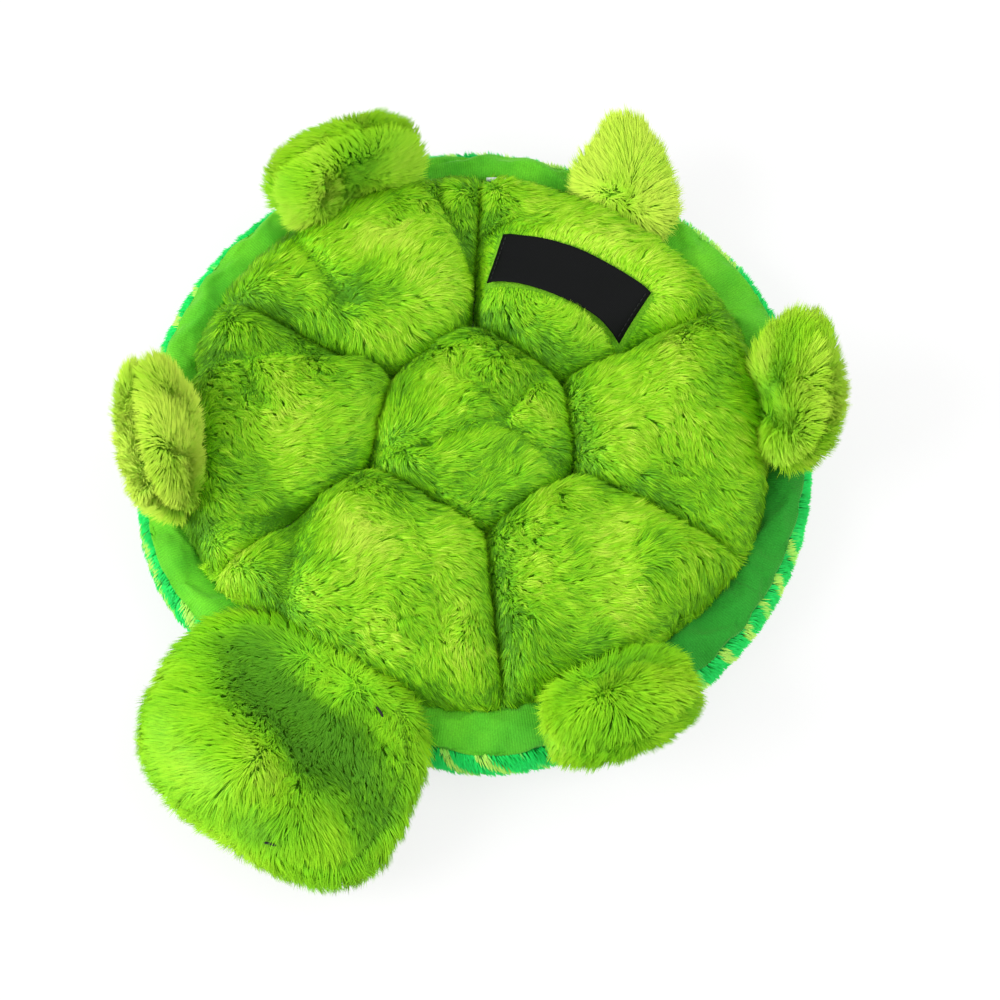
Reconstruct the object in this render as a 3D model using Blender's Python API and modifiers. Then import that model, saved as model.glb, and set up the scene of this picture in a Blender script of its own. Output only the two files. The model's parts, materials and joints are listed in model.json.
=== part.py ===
"""Plush turtle dog toy, lying on its shell with the belly up, as separate cloth panels, squeakers and fillings.

Metres, +Z up. The origin is the middle of the flat face that the toy rests on, and the head points along -Y.
"""

import math

import bmesh
import bpy

# Cloth, and the clearance between pieces that touch
GAP = 0.0003
PLUSH_THICKNESS = 0.003
VELOUR_THICKNESS = 0.0016
LINING_THICKNESS = 0.0008
LABEL_THICKNESS = 0.0008

# Squeaker: a blow-moulded bellows with a reed insert pressed into its top
SQUEAKER_RADIUS = 0.022
SQUEAKER_HEIGHT = 0.0175
SQUEAKER_WALL = 0.0012
SQUEAKER_CORNER = 0.0055
SQUEAKER_WAIST_DEPTH = 0.0035
REED_RADIUS = 0.0057
REED_WALL = 0.0039
REED_LENGTH = 0.007
REED_FLANGE_WIDTH = 0.0025
REED_FLANGE_THICKNESS = 0.0012

# Quilting of the belly: a slack hexagon in the middle and six pockets round it, each with room for a squeaker.
# The hexagon's corners are shares of a pocket's half width. Each line of quilting from a corner ends on the
# belly's edge at its own azimuth, in degrees.
POCKET_MARGIN = 0.015
POCKET_SLACK = 0.0009
POCKET_SIDE_SHARE = 1.05
DOME_SHARE = 0.25
HEXAGON_CORNER_SHARES = ((1.11, 0.11), (0.46, 0.92), (-0.68, 1.0), (-1.08, 0.05), (-0.73, -0.97), (0.68, -0.95))
SPOKE_AZIMUTHS = (4.0, 61.0, 120.0, 184.0, 244.0, 306.0)

# Body, seen from above: an oval shell with a velour band inside its edge
LENGTH_SHARE = 0.962
BAND_WIDTH = 0.020
BAND_CROWN = 0.005

# Section of the striped shell, from the face that it rests on to the seam with the band
SHELL_HEIGHT = 0.0227
SHELL_WIDEST_HEIGHT = 0.014
SHELL_CURVE_WIDTH = 0.050
SHELL_TURN_IN = 0.005
LINING_DROP = 0.0014
LINING_CLEARANCE = 0.001

# Every limb is sewn in flat at its root, and turns there
ROOT_FILLING = 0.0012
WADDING_GAP = 0.0006
FULL_DEPTH_SHARE = 0.6

HEAD_LENGTH = 0.075
HEAD_WIDTH = 0.104
NECK_WIDTH = 0.090
CHIN_DEPTH = 0.017
CROWN_DEPTH = 0.0175
NECK_REACH = 0.013
HEAD_DROOP = 26.0
HEAD_SWEEP = 0.016
DENT_SHARE = 0.5
DENT_LENGTH = 0.036
DENT_WIDTH = 0.013
DENT_TURN = -17.0
DENT_ACROSS = -0.010
DENT_ALONG = 0.034
EYE_RADIUS = 0.0085
EYE_BORDER = 0.0037
EYE_SPREAD = 0.029
EYE_ALONG = 0.054

FOOT_LENGTH = 0.043
FOOT_WIDTH = 0.053
FOOT_ROOT_WIDTH = 0.040
FOOT_DEPTH = 0.0088
FOOT_CURL = 16.0

TAIL_LENGTH = 0.038
TAIL_ROOT_WIDTH = 0.038
TAIL_TIP_WIDTH = 0.018
TAIL_DEPTH = 0.008
TAIL_CURL = 10.0
TAIL_SWEEP = 0.014

# The sewn label, placed from the middle of the pocket nearest the tail
SEWN_LABEL_LENGTH = 0.060
SEWN_LABEL_WIDTH = 0.022
SEWN_LABEL_BOW = 0.005
SEWN_LABEL_ACROSS = 0.002
SEWN_LABEL_ALONG = -0.0013
SEWN_LABEL_TURN = 6.5
SEWN_LABEL_SPREAD_SHARE = 0.11
SEWN_LABEL_SLACK = 0.0005
SEWN_LABEL_POCKET = 1
CARE_LABEL_WIDTH = 0.012
CARE_LABEL_HEIGHT = 0.0075
CARE_LABEL_AZIMUTH = 116.0

# Where each foot leaves the body, how far it is lifted, both in degrees, and how far its tip leans sideways
FOOT_PLACES = {
    "front_left_foot": (218.5, 63.0, 0.005),
    "hind_left_foot": (148.0, 80.0, -0.001),
    "front_right_foot": (-32.5, 33.0, -0.003),
    "hind_right_foot": (36.0, 60.0, -0.003),
}
TAIL_AZIMUTH = 91.0
TAIL_LIFT = 16.0
HEAD_AZIMUTH = -89.0

# Grid fineness
BODY_STEPS = 48
SQUEAKER_STEPS = 14
REED_STEPS = 10
LIMB_STEPS = 16
HEAD_STEPS = 24
EYE_STEPS = 12
SEWN_LABEL_COLUMNS = 16
SEWN_LABEL_ROWS = 6

# Where the rings of the quilted panel lie: in the hexagon, and between it and the edge
OUTER_HEXAGON_SHARES = (0.45, 0.76, 0.92, 1.0)
OUTER_POCKET_SHARES = (0.05, 0.13, 0.26, 0.5, 0.74, 0.88, 0.96, 0.985, 1.0)
INNER_HEXAGON_SHARES = (0.45, 0.76, 0.92)
INNER_POCKET_SHARES = (0.05, 0.13, 0.26, 0.5, 0.74, 0.87, 0.96)
SECTOR_SHARES = (0.0, 0.06, 0.15, 0.3, 0.5, 0.7, 0.85, 0.94)
LIMB_RING_SHARES = ((0.25, 0.52, 0.79, 0.93, 0.98, 1.0), (0.3, 0.62, 0.9, 1.0))
HEAD_RING_SHARES = ((0.15, 0.31, 0.46, 0.61, 0.76, 0.88, 0.96, 0.99, 1.0), (0.2, 0.38, 0.54, 0.7, 0.84, 0.94, 1.0))
SUPERELLIPSE_POWER = 2.5
ROUNDING_SHARE = 0.85
EYE_RING_SHARE = 0.55
MERGE_DISTANCE = 0.00001
BELLY_WALL_STEP = 0.0001

# Sizes, heights and places that follow from the sizes above
ROOT_RADIUS = PLUSH_THICKNESS + ROOT_FILLING
REED_FLANGE_RADIUS = REED_RADIUS + REED_FLANGE_WIDTH
POCKET_HALF_WIDTH = SQUEAKER_RADIUS + POCKET_MARGIN
POCKET_SIDE = POCKET_MARGIN * POCKET_SIDE_SHARE
BELLY_RADIUS = 3 * POCKET_HALF_WIDTH
HALF_WIDTH = BELLY_RADIUS + BAND_WIDTH
LINING_INSET = PLUSH_THICKNESS + SHELL_TURN_IN + LINING_CLEARANCE
LINING_TOP = SHELL_HEIGHT - LINING_DROP
SEAM_INSIDE = LINING_TOP + GAP
SEAM_OUTSIDE = SEAM_INSIDE + PLUSH_THICKNESS
REED_TOP = SEAM_INSIDE + SQUEAKER_HEIGHT + GAP + REED_FLANGE_THICKNESS
POCKET_CROWN = REED_TOP + POCKET_SLACK - SEAM_INSIDE
BAND_FOOT = SHELL_HEIGHT + GAP
BAND_TOP = BAND_FOOT + BAND_CROWN
SECTORS = len(HEXAGON_CORNER_SHARES)
HEXAGON_CENTRE = (
    POCKET_HALF_WIDTH * sum(across for across, along in HEXAGON_CORNER_SHARES) / SECTORS,
    POCKET_HALF_WIDTH * sum(along for across, along in HEXAGON_CORNER_SHARES) / SECTORS,
)
HINGE_HEIGHT = BAND_TOP + GAP + ROOT_RADIUS

COLOURS = {
    "lime_plush": ((0.25, 0.53, 0.02), 0.9),
    "shell_plush": ((0.0, 0.5, 0.08), 0.9),
    "green_velour": ((0.1, 0.48, 0.03), 0.85),
    "lining_cloth": ((0.75, 0.75, 0.72), 0.9),
    "wadding": ((0.9, 0.9, 0.88), 1.0),
    "squeaker_plastic": ((0.82, 0.83, 0.82), 0.4),
    "label_black": ((0.01, 0.01, 0.01), 0.6),
    "label_white": ((0.85, 0.87, 0.88), 0.5),
    "eye_white": ((0.85, 0.85, 0.83), 0.7),
    "eye_black": ((0.01, 0.01, 0.01), 0.6),
}


def clear_scene():
    """Removes whatever the scene holds."""
    for thing in list(bpy.data.objects):
        bpy.data.objects.remove(thing, do_unlink=True)


def make_material(name):
    """A Principled material of one colour."""
    colour, roughness = COLOURS[name]
    material = bpy.data.materials.new(name)
    material.use_nodes = True
    shader = material.node_tree.nodes["Principled BSDF"]
    shader.inputs["Base Color"].default_value = (*colour, 1.0)
    shader.inputs["Roughness"].default_value = roughness
    shader.inputs["Metallic"].default_value = 0.0
    return material


def add_piece(name, mesh, material_name, parent=None):
    """Links a mesh as one named piece of the toy."""
    if material_name not in bpy.data.materials:
        make_material(material_name)
    mesh.materials.append(bpy.data.materials[material_name])
    mesh.shade_smooth()
    piece = bpy.data.objects.new(name, mesh)
    piece.parent = parent
    bpy.data.collections["plush_turtle"].objects.link(piece)
    return piece


def smooth_step(share):
    """Eases from 0 to 1."""
    share = min(max(share, 0.0), 1.0)
    return share * share * (3 - 2 * share)


def signed_power(value, power):
    """A power that keeps the sign."""
    return math.copysign(abs(value) ** power, value)


def loft_rings(name, rings):
    """A closed mesh through rings of points in order. A ring of one point is a pole, and closes an end."""
    shape = bmesh.new()
    grid = [[shape.verts.new(point) for point in ring] for ring in rings]
    for first, second in zip(grid, grid[1:]):
        count = max(len(first), len(second))
        for i in range(count):
            j = (i + 1) % count
            corners = [first[i % len(first)], first[j % len(first)], second[j % len(second)], second[i % len(second)]]
            shape.faces.new(list(dict.fromkeys(corners)))
    bmesh.ops.recalc_face_normals(shape, faces=shape.faces)
    mesh = bpy.data.meshes.new(name)
    shape.to_mesh(mesh)
    shape.free()
    return mesh


def turned_piece(name, profile, steps, material_name, closed=False, centre=(0.0, 0.0)):
    """A profile of (radius, height) points turned about the vertical by a Screw modifier."""
    mesh = bpy.data.meshes.new(name)
    points = [(radius, 0.0, height) for radius, height in profile]
    edges = [(i, i + 1) for i in range(len(points) - 1)]
    if closed:
        edges.append((len(points) - 1, 0))
    mesh.from_pydata(points, edges, [])
    piece = add_piece(name, mesh, material_name)
    piece.location = (centre[0], centre[1], 0.0)
    screw = piece.modifiers.new("turn", "SCREW")
    screw.steps = steps
    screw.render_steps = steps
    screw.use_merge_vertices = True
    screw.merge_threshold = MERGE_DISTANCE
    screw.use_smooth_shade = True
    return piece


def quarter(start, end, count, level_first):
    """Points of a quarter ellipse from start to end, both (inset, height), without the start."""
    points = []
    for i in range(1, count + 1):
        angle = math.pi / 2 * i / count
        early, late = math.sin(angle), 1 - math.cos(angle)
        across, up = (early, late) if level_first else (late, early)
        points.append((start[0] + (end[0] - start[0]) * across, start[1] + (end[1] - start[1]) * up))
    return points


def shell_section(offset, top):
    """Half section of the shell's cloth, moved inwards by offset, as (inset from the widest outline, height)."""
    low = (SHELL_CURVE_WIDTH, offset)
    widest = (offset, SHELL_WIDEST_HEIGHT)
    return [low] + quarter(low, widest, 5, True) + quarter(widest, (offset + SHELL_TURN_IN, top), 3, False)


def oval(piece):
    """Makes a round piece of the body as oval as the body."""
    piece.scale = (1.0, LENGTH_SHARE, 1.0)
    return piece


def at_radius(section):
    """(radius, height) points of a section given as (inset, height)."""
    return [(HALF_WIDTH - inset, height) for inset, height in section]


def build_shell():
    """The striped shell: a shallow dish of plush, with the filling that lies in it."""
    outside = at_radius(shell_section(0.0, SHELL_HEIGHT))
    inside = at_radius(shell_section(PLUSH_THICKNESS, SHELL_HEIGHT))
    profile = [(0.0, PLUSH_THICKNESS), *inside, *reversed(outside), (0.0, 0.0)]
    oval(turned_piece("shell_back", profile, BODY_STEPS, "shell_plush"))

    skin = PLUSH_THICKNESS + GAP
    ceiling = LINING_TOP - LINING_THICKNESS - GAP
    low = (SHELL_CURVE_WIDTH, skin)
    side = (LINING_INSET, SHELL_WIDEST_HEIGHT)
    section = [low, *quarter(low, side, 4, True), (LINING_INSET, ceiling)]
    profile = [(0.0, ceiling), *reversed(at_radius(section)), (0.0, skin)]
    oval(turned_piece("shell_wadding", profile, BODY_STEPS, "wadding"))


def build_lining():
    """The flat cloth that closes the pockets from below."""
    radius = HALF_WIDTH - LINING_INSET
    bottom = LINING_TOP - LINING_THICKNESS
    profile = [(0.0, LINING_TOP), (radius, LINING_TOP), (radius, bottom), (0.0, bottom)]
    oval(turned_piece("pocket_lining", profile, BODY_STEPS, "lining_cloth"))


def build_band():
    """The velour band: a low roll from the shell's seam to the belly."""
    middle = (SHELL_TURN_IN + BAND_WIDTH - GAP) / 2
    section = []
    for offset in (0.0, VELOUR_THICKNESS):
        outer_foot = (SHELL_TURN_IN + offset, BAND_FOOT)
        inner_foot = (BAND_WIDTH - GAP - offset, SEAM_INSIDE)
        crest = (middle, BAND_TOP - offset)
        rise = [outer_foot, *quarter(outer_foot, crest, 4, False)]
        fall = quarter(crest, inner_foot, 4, True)
        section.append(rise + fall)
    outside, inside = section
    profile = at_radius([*reversed(outside), *inside])
    oval(turned_piece("rim_band", profile, BODY_STEPS, "green_velour", closed=True))


def between(start, end, share):
    """A point on the line from start to end."""
    return (start[0] + (end[0] - start[0]) * share, start[1] + (end[1] - start[1]) * share)


def line_distance(point, start, end):
    """Distance of a point from a straight line of quilting between two points."""
    way = (end[0] - start[0], end[1] - start[1])
    offset = (point[0] - start[0], point[1] - start[1])
    share = (offset[0] * way[0] + offset[1] * way[1]) / (way[0] ** 2 + way[1] ** 2)
    nearest = between(start, end, min(max(share, 0.0), 1.0))
    return math.hypot(point[0] - nearest[0], point[1] - nearest[1])


def hexagon_side(sector, share=0.0):
    """A point on one side of the hexagon."""
    start = HEXAGON_CORNER_SHARES[sector % SECTORS]
    end = HEXAGON_CORNER_SHARES[(sector + 1) % SECTORS]
    across, along = between(start, end, share)
    return across * POCKET_HALF_WIDTH, along * POCKET_HALF_WIDTH


def belly_edge(sector, share=0.0):
    """A point on the belly's edge within one sector."""
    start, end = SPOKE_AZIMUTHS[sector % SECTORS], SPOKE_AZIMUTHS[(sector + 1) % SECTORS]
    angle = math.radians(start + (end - start) % 360.0 * share)
    return BELLY_RADIUS * math.cos(angle), BELLY_RADIUS * math.sin(angle) * LENGTH_SHARE


def seam_distance(across, along):
    """How far a point of the belly is from the nearest line of quilting or the edge."""
    point = (across, along)
    distances = [BELLY_RADIUS - math.hypot(across, along / LENGTH_SHARE)]
    for i in range(SECTORS):
        distances.append(line_distance(point, hexagon_side(i), hexagon_side(i + 1)))
        distances.append(line_distance(point, hexagon_side(i), belly_edge(i)))
    return max(0.0, min(distances))


def puff(distance, reach):
    """The share of its full height that a pocket has at a distance from its seam."""
    return math.sqrt(1 - (1 - min(distance / reach, 1.0)) ** 2)


def pocket_height(distance, reach):
    """Height of a pocket over its seam: a steep side under a gentle dome."""
    side, dome = puff(distance, reach), puff(distance, POCKET_HALF_WIDTH)
    return POCKET_CROWN * (side + (dome - side) * DOME_SHARE)


def belly_top(across, along):
    """Height of the belly panel's outer face."""
    return SEAM_OUTSIDE + pocket_height(seam_distance(across, along), POCKET_SIDE)


def belly_underside(across, along):
    """Height of the belly panel's inner face, one cloth away from the outer one."""
    inside = max(0.0, seam_distance(across, along) - PLUSH_THICKNESS)
    return SEAM_INSIDE + pocket_height(inside, POCKET_SIDE - PLUSH_THICKNESS)


def belly_ring(ring_share, beyond_hexagon, height):
    """One ring of the belly panel, which follows the hexagon inside it and nears the body's outline outside it."""
    ring = []
    for sector in range(SECTORS):
        for share in SECTOR_SHARES:
            spot = hexagon_side(sector, share)
            if beyond_hexagon:
                spot = between(spot, belly_edge(sector, share), ring_share)
            else:
                spot = between(HEXAGON_CENTRE, spot, ring_share)
            ring.append((*spot, height(*spot)))
    return ring


def build_belly():
    """The quilted belly panel, hollow under each of its seven pockets."""
    rings = [[(*HEXAGON_CENTRE, belly_top(*HEXAGON_CENTRE))]]
    rings += [belly_ring(share, False, belly_top) for share in OUTER_HEXAGON_SHARES]
    rings += [belly_ring(share, True, belly_top) for share in OUTER_POCKET_SHARES]
    rings.append(belly_ring(1.0, True, belly_underside))
    rings += [belly_ring(share, True, belly_underside) for share in reversed(INNER_POCKET_SHARES)]
    rings += [belly_ring(share, False, belly_underside) for share in reversed(INNER_HEXAGON_SHARES)]
    rings.append([(*HEXAGON_CENTRE, belly_underside(*HEXAGON_CENTRE))])
    add_piece("belly_panel", loft_rings("belly_panel", rings), "lime_plush")


def pocket_centre(sector):
    """The middle of one of the pockets round the hexagon."""
    return between(hexagon_side(sector, 0.5), belly_edge(sector, 0.5), 0.5)


def squeaker_centres():
    """The name and place of each squeaker: one in the middle and one in each pocket round it."""
    places = {"centre": HEXAGON_CENTRE}
    for sector in range(SECTORS):
        places[str(sector + 1)] = pocket_centre(sector)
    return places


def build_squeaker(name, centre):
    """A bellows with its reed insert, sitting on the lining."""
    low, high = SEAM_INSIDE, SEAM_INSIDE + SQUEAKER_HEIGHT
    middle = (low + high) / 2
    hole = REED_RADIUS + GAP

    def wall_line(offset):
        """The bellows' section from the top hole to the underside, moved inwards by offset."""
        side = SQUEAKER_RADIUS - offset
        flat = SQUEAKER_RADIUS - SQUEAKER_CORNER
        return [
            (hole, high - offset),
            (flat, high - offset),
            (side, high - SQUEAKER_CORNER),
            (side - SQUEAKER_WAIST_DEPTH, middle),
            (side, low + SQUEAKER_CORNER),
            (flat, low + offset),
            (0.0, low + offset),
        ]

    profile = [*reversed(wall_line(SQUEAKER_WALL)), *wall_line(0.0)]
    turned_piece(f"squeaker_bulb_{name}", profile, SQUEAKER_STEPS, "squeaker_plastic", centre=centre)

    seat = high + GAP
    bore = REED_RADIUS - REED_WALL
    profile = [
        (bore, REED_TOP),
        (REED_FLANGE_RADIUS, REED_TOP),
        (REED_FLANGE_RADIUS, seat),
        (REED_RADIUS, seat),
        (REED_RADIUS, seat - REED_LENGTH),
        (bore, seat - REED_LENGTH),
    ]
    turned_piece(f"squeaker_reed_{name}", profile, REED_STEPS, "squeaker_plastic", closed=True, centre=centre)


class Pillow:
    """A limb sewn from two panels: flat at its root, fuller outwards. Local X is across, Y outwards, Z up."""

    def __init__(self, length, root_width, width, top_depth, bottom_depth, swell_start, curl, curl_start, sweep=0.0):
        self.length = length
        self.root_width = root_width
        self.width = width
        self.top_depth = top_depth
        self.bottom_depth = bottom_depth
        self.swell_start = swell_start
        self.curl = math.radians(curl)
        self.curl_start = curl_start
        self.sweep = sweep
        self.dent = None
        self.outer_shares, self.inner_shares = LIMB_RING_SHARES

    def half_width(self, along):
        """Half the limb's width at a distance from its root edge."""
        share = smooth_step(along / self.length)
        return (self.root_width + (self.width - self.root_width) * share) / 2

    def swell(self, along):
        """How far the limb has grown, from 0 at its flat root to 1 where it is full."""
        return smooth_step((along - self.swell_start) / (self.length * FULL_DEPTH_SHARE - self.swell_start))

    def plan_point(self, ring_share, angle, inset):
        """(across, along) of a point on one of the rings that fill the outline."""
        power = 2 / SUPERELLIPSE_POWER
        half = self.length / 2
        along = half - (half - inset) * ring_share * signed_power(math.cos(angle), power)
        across = (self.half_width(along) - inset) * ring_share * signed_power(math.sin(angle), power)
        return across, along

    def ring_share(self, across, along):
        """The share, from 0 in the middle to 1 at the outline, of the ring that passes through a point."""
        half = self.length / 2
        lengthwise = abs(along - half) / half
        sideways = abs(across) / self.half_width(along)
        return (lengthwise**SUPERELLIPSE_POWER + sideways**SUPERELLIPSE_POWER) ** (1 / SUPERELLIPSE_POWER)

    def height(self, across, along, ring_share, side, inset):
        """Height over the seam of the top (side 1) or bottom (side -1) face, moved inwards by inset.

        The section is half round at the root, about the hinge's axis, and a broad dome further out.
        """
        swell = self.swell(along)
        reach = ROOT_RADIUS + (self.length / 2 * ROUNDING_SHARE - ROOT_RADIUS) * swell
        depth = ROOT_RADIUS + ((self.top_depth if side > 0 else self.bottom_depth) - ROOT_RADIUS) * swell
        if self.dent and side > 0:
            depth *= 1 - self.dent(across, along)
        from_outline = (1 - min(ring_share, 1.0)) * (self.length / 2 - inset)
        return side * (depth - inset) * puff(from_outline, reach - inset)

    def shaped(self, across, along, height):
        """The point once the limb leans sideways and curls, with the hinge's axis through the origin."""
        across += self.sweep * (along / self.length) ** 2
        outward = along - ROOT_RADIUS
        bend = outward - self.curl_start
        if bend <= 0:
            return across, outward, height
        radius = (self.length - ROOT_RADIUS - self.curl_start) / self.curl
        angle = bend / radius
        return (
            across,
            self.curl_start + (radius - height) * math.sin(angle),
            radius - (radius - height) * math.cos(angle),
        )

    def ring(self, ring_share, steps, side, inset, lift=0.0):
        """One ring of a face. Lift moves it away from the seam's plane."""
        ring = []
        for i in range(steps):
            angle = 2 * math.pi * i / steps
            across, along = self.plan_point(ring_share, angle, inset)
            height = self.height(across, along, ring_share, side, inset) + side * lift
            ring.append(self.shaped(across, along, height))
        return ring

    def pole(self, side, inset, lift=0.0):
        """The middle point of a face."""
        along = self.length / 2
        return [self.shaped(0.0, along, self.height(0.0, along, 0.0, side, inset) + side * lift)]

    def panel(self, name, steps, side, material_name, parent):
        """One of the two cloth panels, a shell that ends at the seam."""
        lift = GAP / 2
        rings = [self.pole(side, 0.0, lift)]
        rings += [self.ring(share, steps, side, 0.0, lift) for share in self.outer_shares]
        rings += [self.ring(share, steps, side, PLUSH_THICKNESS, lift) for share in reversed(self.inner_shares)]
        rings.append(self.pole(side, PLUSH_THICKNESS, lift))
        return add_piece(name, loft_rings(name, rings), material_name, parent)

    def filling(self, name, steps, parent):
        """The loose fibre filling between the panels."""
        inset = PLUSH_THICKNESS + WADDING_GAP
        rings = [self.pole(1, inset)]
        rings += [self.ring(share, steps, 1, inset) for share in self.inner_shares]
        rings += [self.ring(share, steps, -1, inset) for share in reversed(self.inner_shares[:-1])]
        rings.append(self.pole(-1, inset))
        return add_piece(name, loft_rings(name, rings), "wadding", parent)

    def patch(self, name, across, along, radius, inner_lift, material_name, parent):
        """A round embroidered patch that follows the bottom face."""
        rings = []
        shares = (0.0, EYE_RING_SHARE, 1.0)
        for lift, ordered in ((inner_lift, shares), (inner_lift + LABEL_THICKNESS, reversed(shares))):
            for share in ordered:
                ring = []
                for i in range(EYE_STEPS if share else 1):
                    angle = 2 * math.pi * i / EYE_STEPS
                    x = across + radius * share * math.cos(angle)
                    y = along + radius * share * math.sin(angle)
                    height = self.height(x, y, self.ring_share(x, y), -1, 0.0) - lift
                    ring.append(self.shaped(x, y, height))
                rings.append(ring)
        return add_piece(name, loft_rings(name, rings), material_name, parent)


def belly_wall_inset():
    """How far inside the widest outline the belly's side lies at the height of the limbs' hinges."""
    inset = 0.0
    while pocket_height(inset, POCKET_SIDE) < HINGE_HEIGHT - SEAM_OUTSIDE:
        inset += BELLY_WALL_STEP
    return BAND_WIDTH + inset


def hinge(name, azimuth, lift):
    """An empty on a limb's hinge axis, which is its local X. Its local Y points along the lifted limb."""
    angle = math.radians(azimuth)
    radius = HALF_WIDTH - belly_wall_inset()
    outward = math.atan2(math.sin(angle) / LENGTH_SHARE, math.cos(angle))
    clearance = GAP + ROOT_RADIUS
    empty = bpy.data.objects.new(name, None)
    empty.location = (
        radius * math.cos(angle) + clearance * math.cos(outward),
        radius * math.sin(angle) * LENGTH_SHARE + clearance * math.sin(outward),
        HINGE_HEIGHT,
    )
    empty.rotation_euler = (math.radians(lift), 0.0, outward - math.pi / 2)
    bpy.data.collections["plush_turtle"].objects.link(empty)
    return empty


def build_feet():
    """Four feet, each a sole panel on the belly's side, a back panel and a filling."""
    for name, (azimuth, lift, sweep) in FOOT_PLACES.items():
        foot = Pillow(
            FOOT_LENGTH, FOOT_ROOT_WIDTH, FOOT_WIDTH, FOOT_DEPTH, FOOT_DEPTH, ROOT_RADIUS, FOOT_CURL, 0.0, sweep
        )
        joint = hinge(f"{name}_hinge", azimuth, lift)
        foot.panel(f"{name}_sole", LIMB_STEPS, 1, "lime_plush", joint)
        foot.panel(f"{name}_back", LIMB_STEPS, -1, "lime_plush", joint)
        foot.filling(f"{name}_wadding", LIMB_STEPS, joint)


def build_tail():
    """The short pointed tail."""
    tail = Pillow(
        TAIL_LENGTH, TAIL_ROOT_WIDTH, TAIL_TIP_WIDTH, TAIL_DEPTH, TAIL_DEPTH, ROOT_RADIUS, TAIL_CURL, 0.0, -TAIL_SWEEP
    )
    joint = hinge("tail_hinge", TAIL_AZIMUTH, TAIL_LIFT)
    tail.panel("tail_under_panel", LIMB_STEPS, 1, "lime_plush", joint)
    tail.panel("tail_upper_panel", LIMB_STEPS, -1, "lime_plush", joint)
    tail.filling("tail_wadding", LIMB_STEPS, joint)


def chin_dent(across, along):
    """The share of its depth that the slack chin loses to the hollow that runs slantwise across it."""
    turn = math.radians(DENT_TURN)
    right, out = across - DENT_ACROSS, along - DENT_ALONG
    lengthwise = (right * math.cos(turn) + out * math.sin(turn)) / DENT_LENGTH
    sideways = (out * math.cos(turn) - right * math.sin(turn)) / DENT_WIDTH
    return DENT_SHARE * math.exp(-(lengthwise**4) - sideways**2)


def build_head():
    """The head: a slack chin panel above, the crown panel with the eyes below, and the filling between."""
    head = Pillow(
        HEAD_LENGTH, NECK_WIDTH, HEAD_WIDTH, CHIN_DEPTH, CROWN_DEPTH, NECK_REACH, -HEAD_DROOP, NECK_REACH, -HEAD_SWEEP
    )
    head.dent = chin_dent
    head.outer_shares, head.inner_shares = HEAD_RING_SHARES
    joint = hinge("head_hinge", HEAD_AZIMUTH, 0.0)
    head.panel("head_chin_panel", HEAD_STEPS, 1, "lime_plush", joint)
    head.panel("head_crown_panel", HEAD_STEPS, -1, "lime_plush", joint)
    head.filling("head_wadding", HEAD_STEPS, joint)
    for side, across in (("right", -EYE_SPREAD), ("left", EYE_SPREAD)):
        head.patch(f"eye_white_{side}", across, EYE_ALONG, EYE_RADIUS, GAP, "eye_white", joint)
        lift = GAP + LABEL_THICKNESS + GAP
        head.patch(f"pupil_{side}", across, EYE_ALONG, EYE_RADIUS - EYE_BORDER, lift, "eye_black", joint)


def build_sewn_label():
    """The black woven label, bowed across the pocket nearest the tail."""
    turn = math.radians(SEWN_LABEL_TURN)
    middle = pocket_centre(SEWN_LABEL_POCKET)
    shape = bmesh.new()
    grid = []
    for row in range(SEWN_LABEL_ROWS + 1):
        grid.append([])
        for column in range(SEWN_LABEL_COLUMNS + 1):
            share = 2 * column / SEWN_LABEL_COLUMNS - 1
            up = row / SEWN_LABEL_ROWS - 0.5
            x = SEWN_LABEL_LENGTH / 2 * share * (1 + SEWN_LABEL_SPREAD_SHARE * up)
            y = SEWN_LABEL_WIDTH * up - SEWN_LABEL_BOW * share * share
            across = middle[0] + SEWN_LABEL_ACROSS + x * math.cos(turn) - y * math.sin(turn)
            along = middle[1] + SEWN_LABEL_ALONG + x * math.sin(turn) + y * math.cos(turn)
            height = belly_top(across, along) + GAP + SEWN_LABEL_SLACK
            grid[row].append(shape.verts.new((across, along, height)))
    for low, high in zip(grid, grid[1:]):
        for i in range(SEWN_LABEL_COLUMNS):
            shape.faces.new((low[i], low[i + 1], high[i + 1], high[i]))
    mesh = bpy.data.meshes.new("sewn_label")
    shape.to_mesh(mesh)
    shape.free()
    label = add_piece("sewn_label", mesh, "label_black")
    cloth = label.modifiers.new("cloth", "SOLIDIFY")
    cloth.thickness = LABEL_THICKNESS
    cloth.offset = 1.0


def build_care_label():
    """The end of the white label that is caught in the seam beside the tail, standing against the belly."""
    angle = math.radians(CARE_LABEL_AZIMUTH)
    radius = BELLY_RADIUS + GAP + LABEL_THICKNESS / 2
    foot = (BAND_FOOT + BAND_TOP) / 2
    shape = bmesh.new()
    bmesh.ops.create_cube(shape, size=1.0)
    bmesh.ops.scale(shape, vec=(CARE_LABEL_WIDTH, LABEL_THICKNESS, CARE_LABEL_HEIGHT), verts=shape.verts)
    mesh = bpy.data.meshes.new("care_label")
    shape.to_mesh(mesh)
    shape.free()
    label = add_piece("care_label", mesh, "label_white")
    label.location = (radius * math.cos(angle), radius * math.sin(angle) * LENGTH_SHARE, foot + CARE_LABEL_HEIGHT / 2)
    label.rotation_euler.z = math.atan2(math.sin(angle) / LENGTH_SHARE, math.cos(angle)) - math.pi / 2


def main():
    """Builds the whole toy."""
    clear_scene()
    collection = bpy.data.collections.new("plush_turtle")
    bpy.context.scene.collection.children.link(collection)
    build_shell()
    build_lining()
    build_band()
    build_belly()
    for name, centre in squeaker_centres().items():
        build_squeaker(name, centre)
    build_feet()
    build_tail()
    build_head()
    build_sewn_label()
    build_care_label()
    bpy.context.view_layer.update()


main()
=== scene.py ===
"""Dresses the plush turtle: pile grown lock by lock, quilted pockets, a velour band and bare woven labels.

Metres, +Z up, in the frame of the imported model. The toy lies on its shell, belly up and head towards -Y.
"""

from __future__ import annotations

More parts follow.
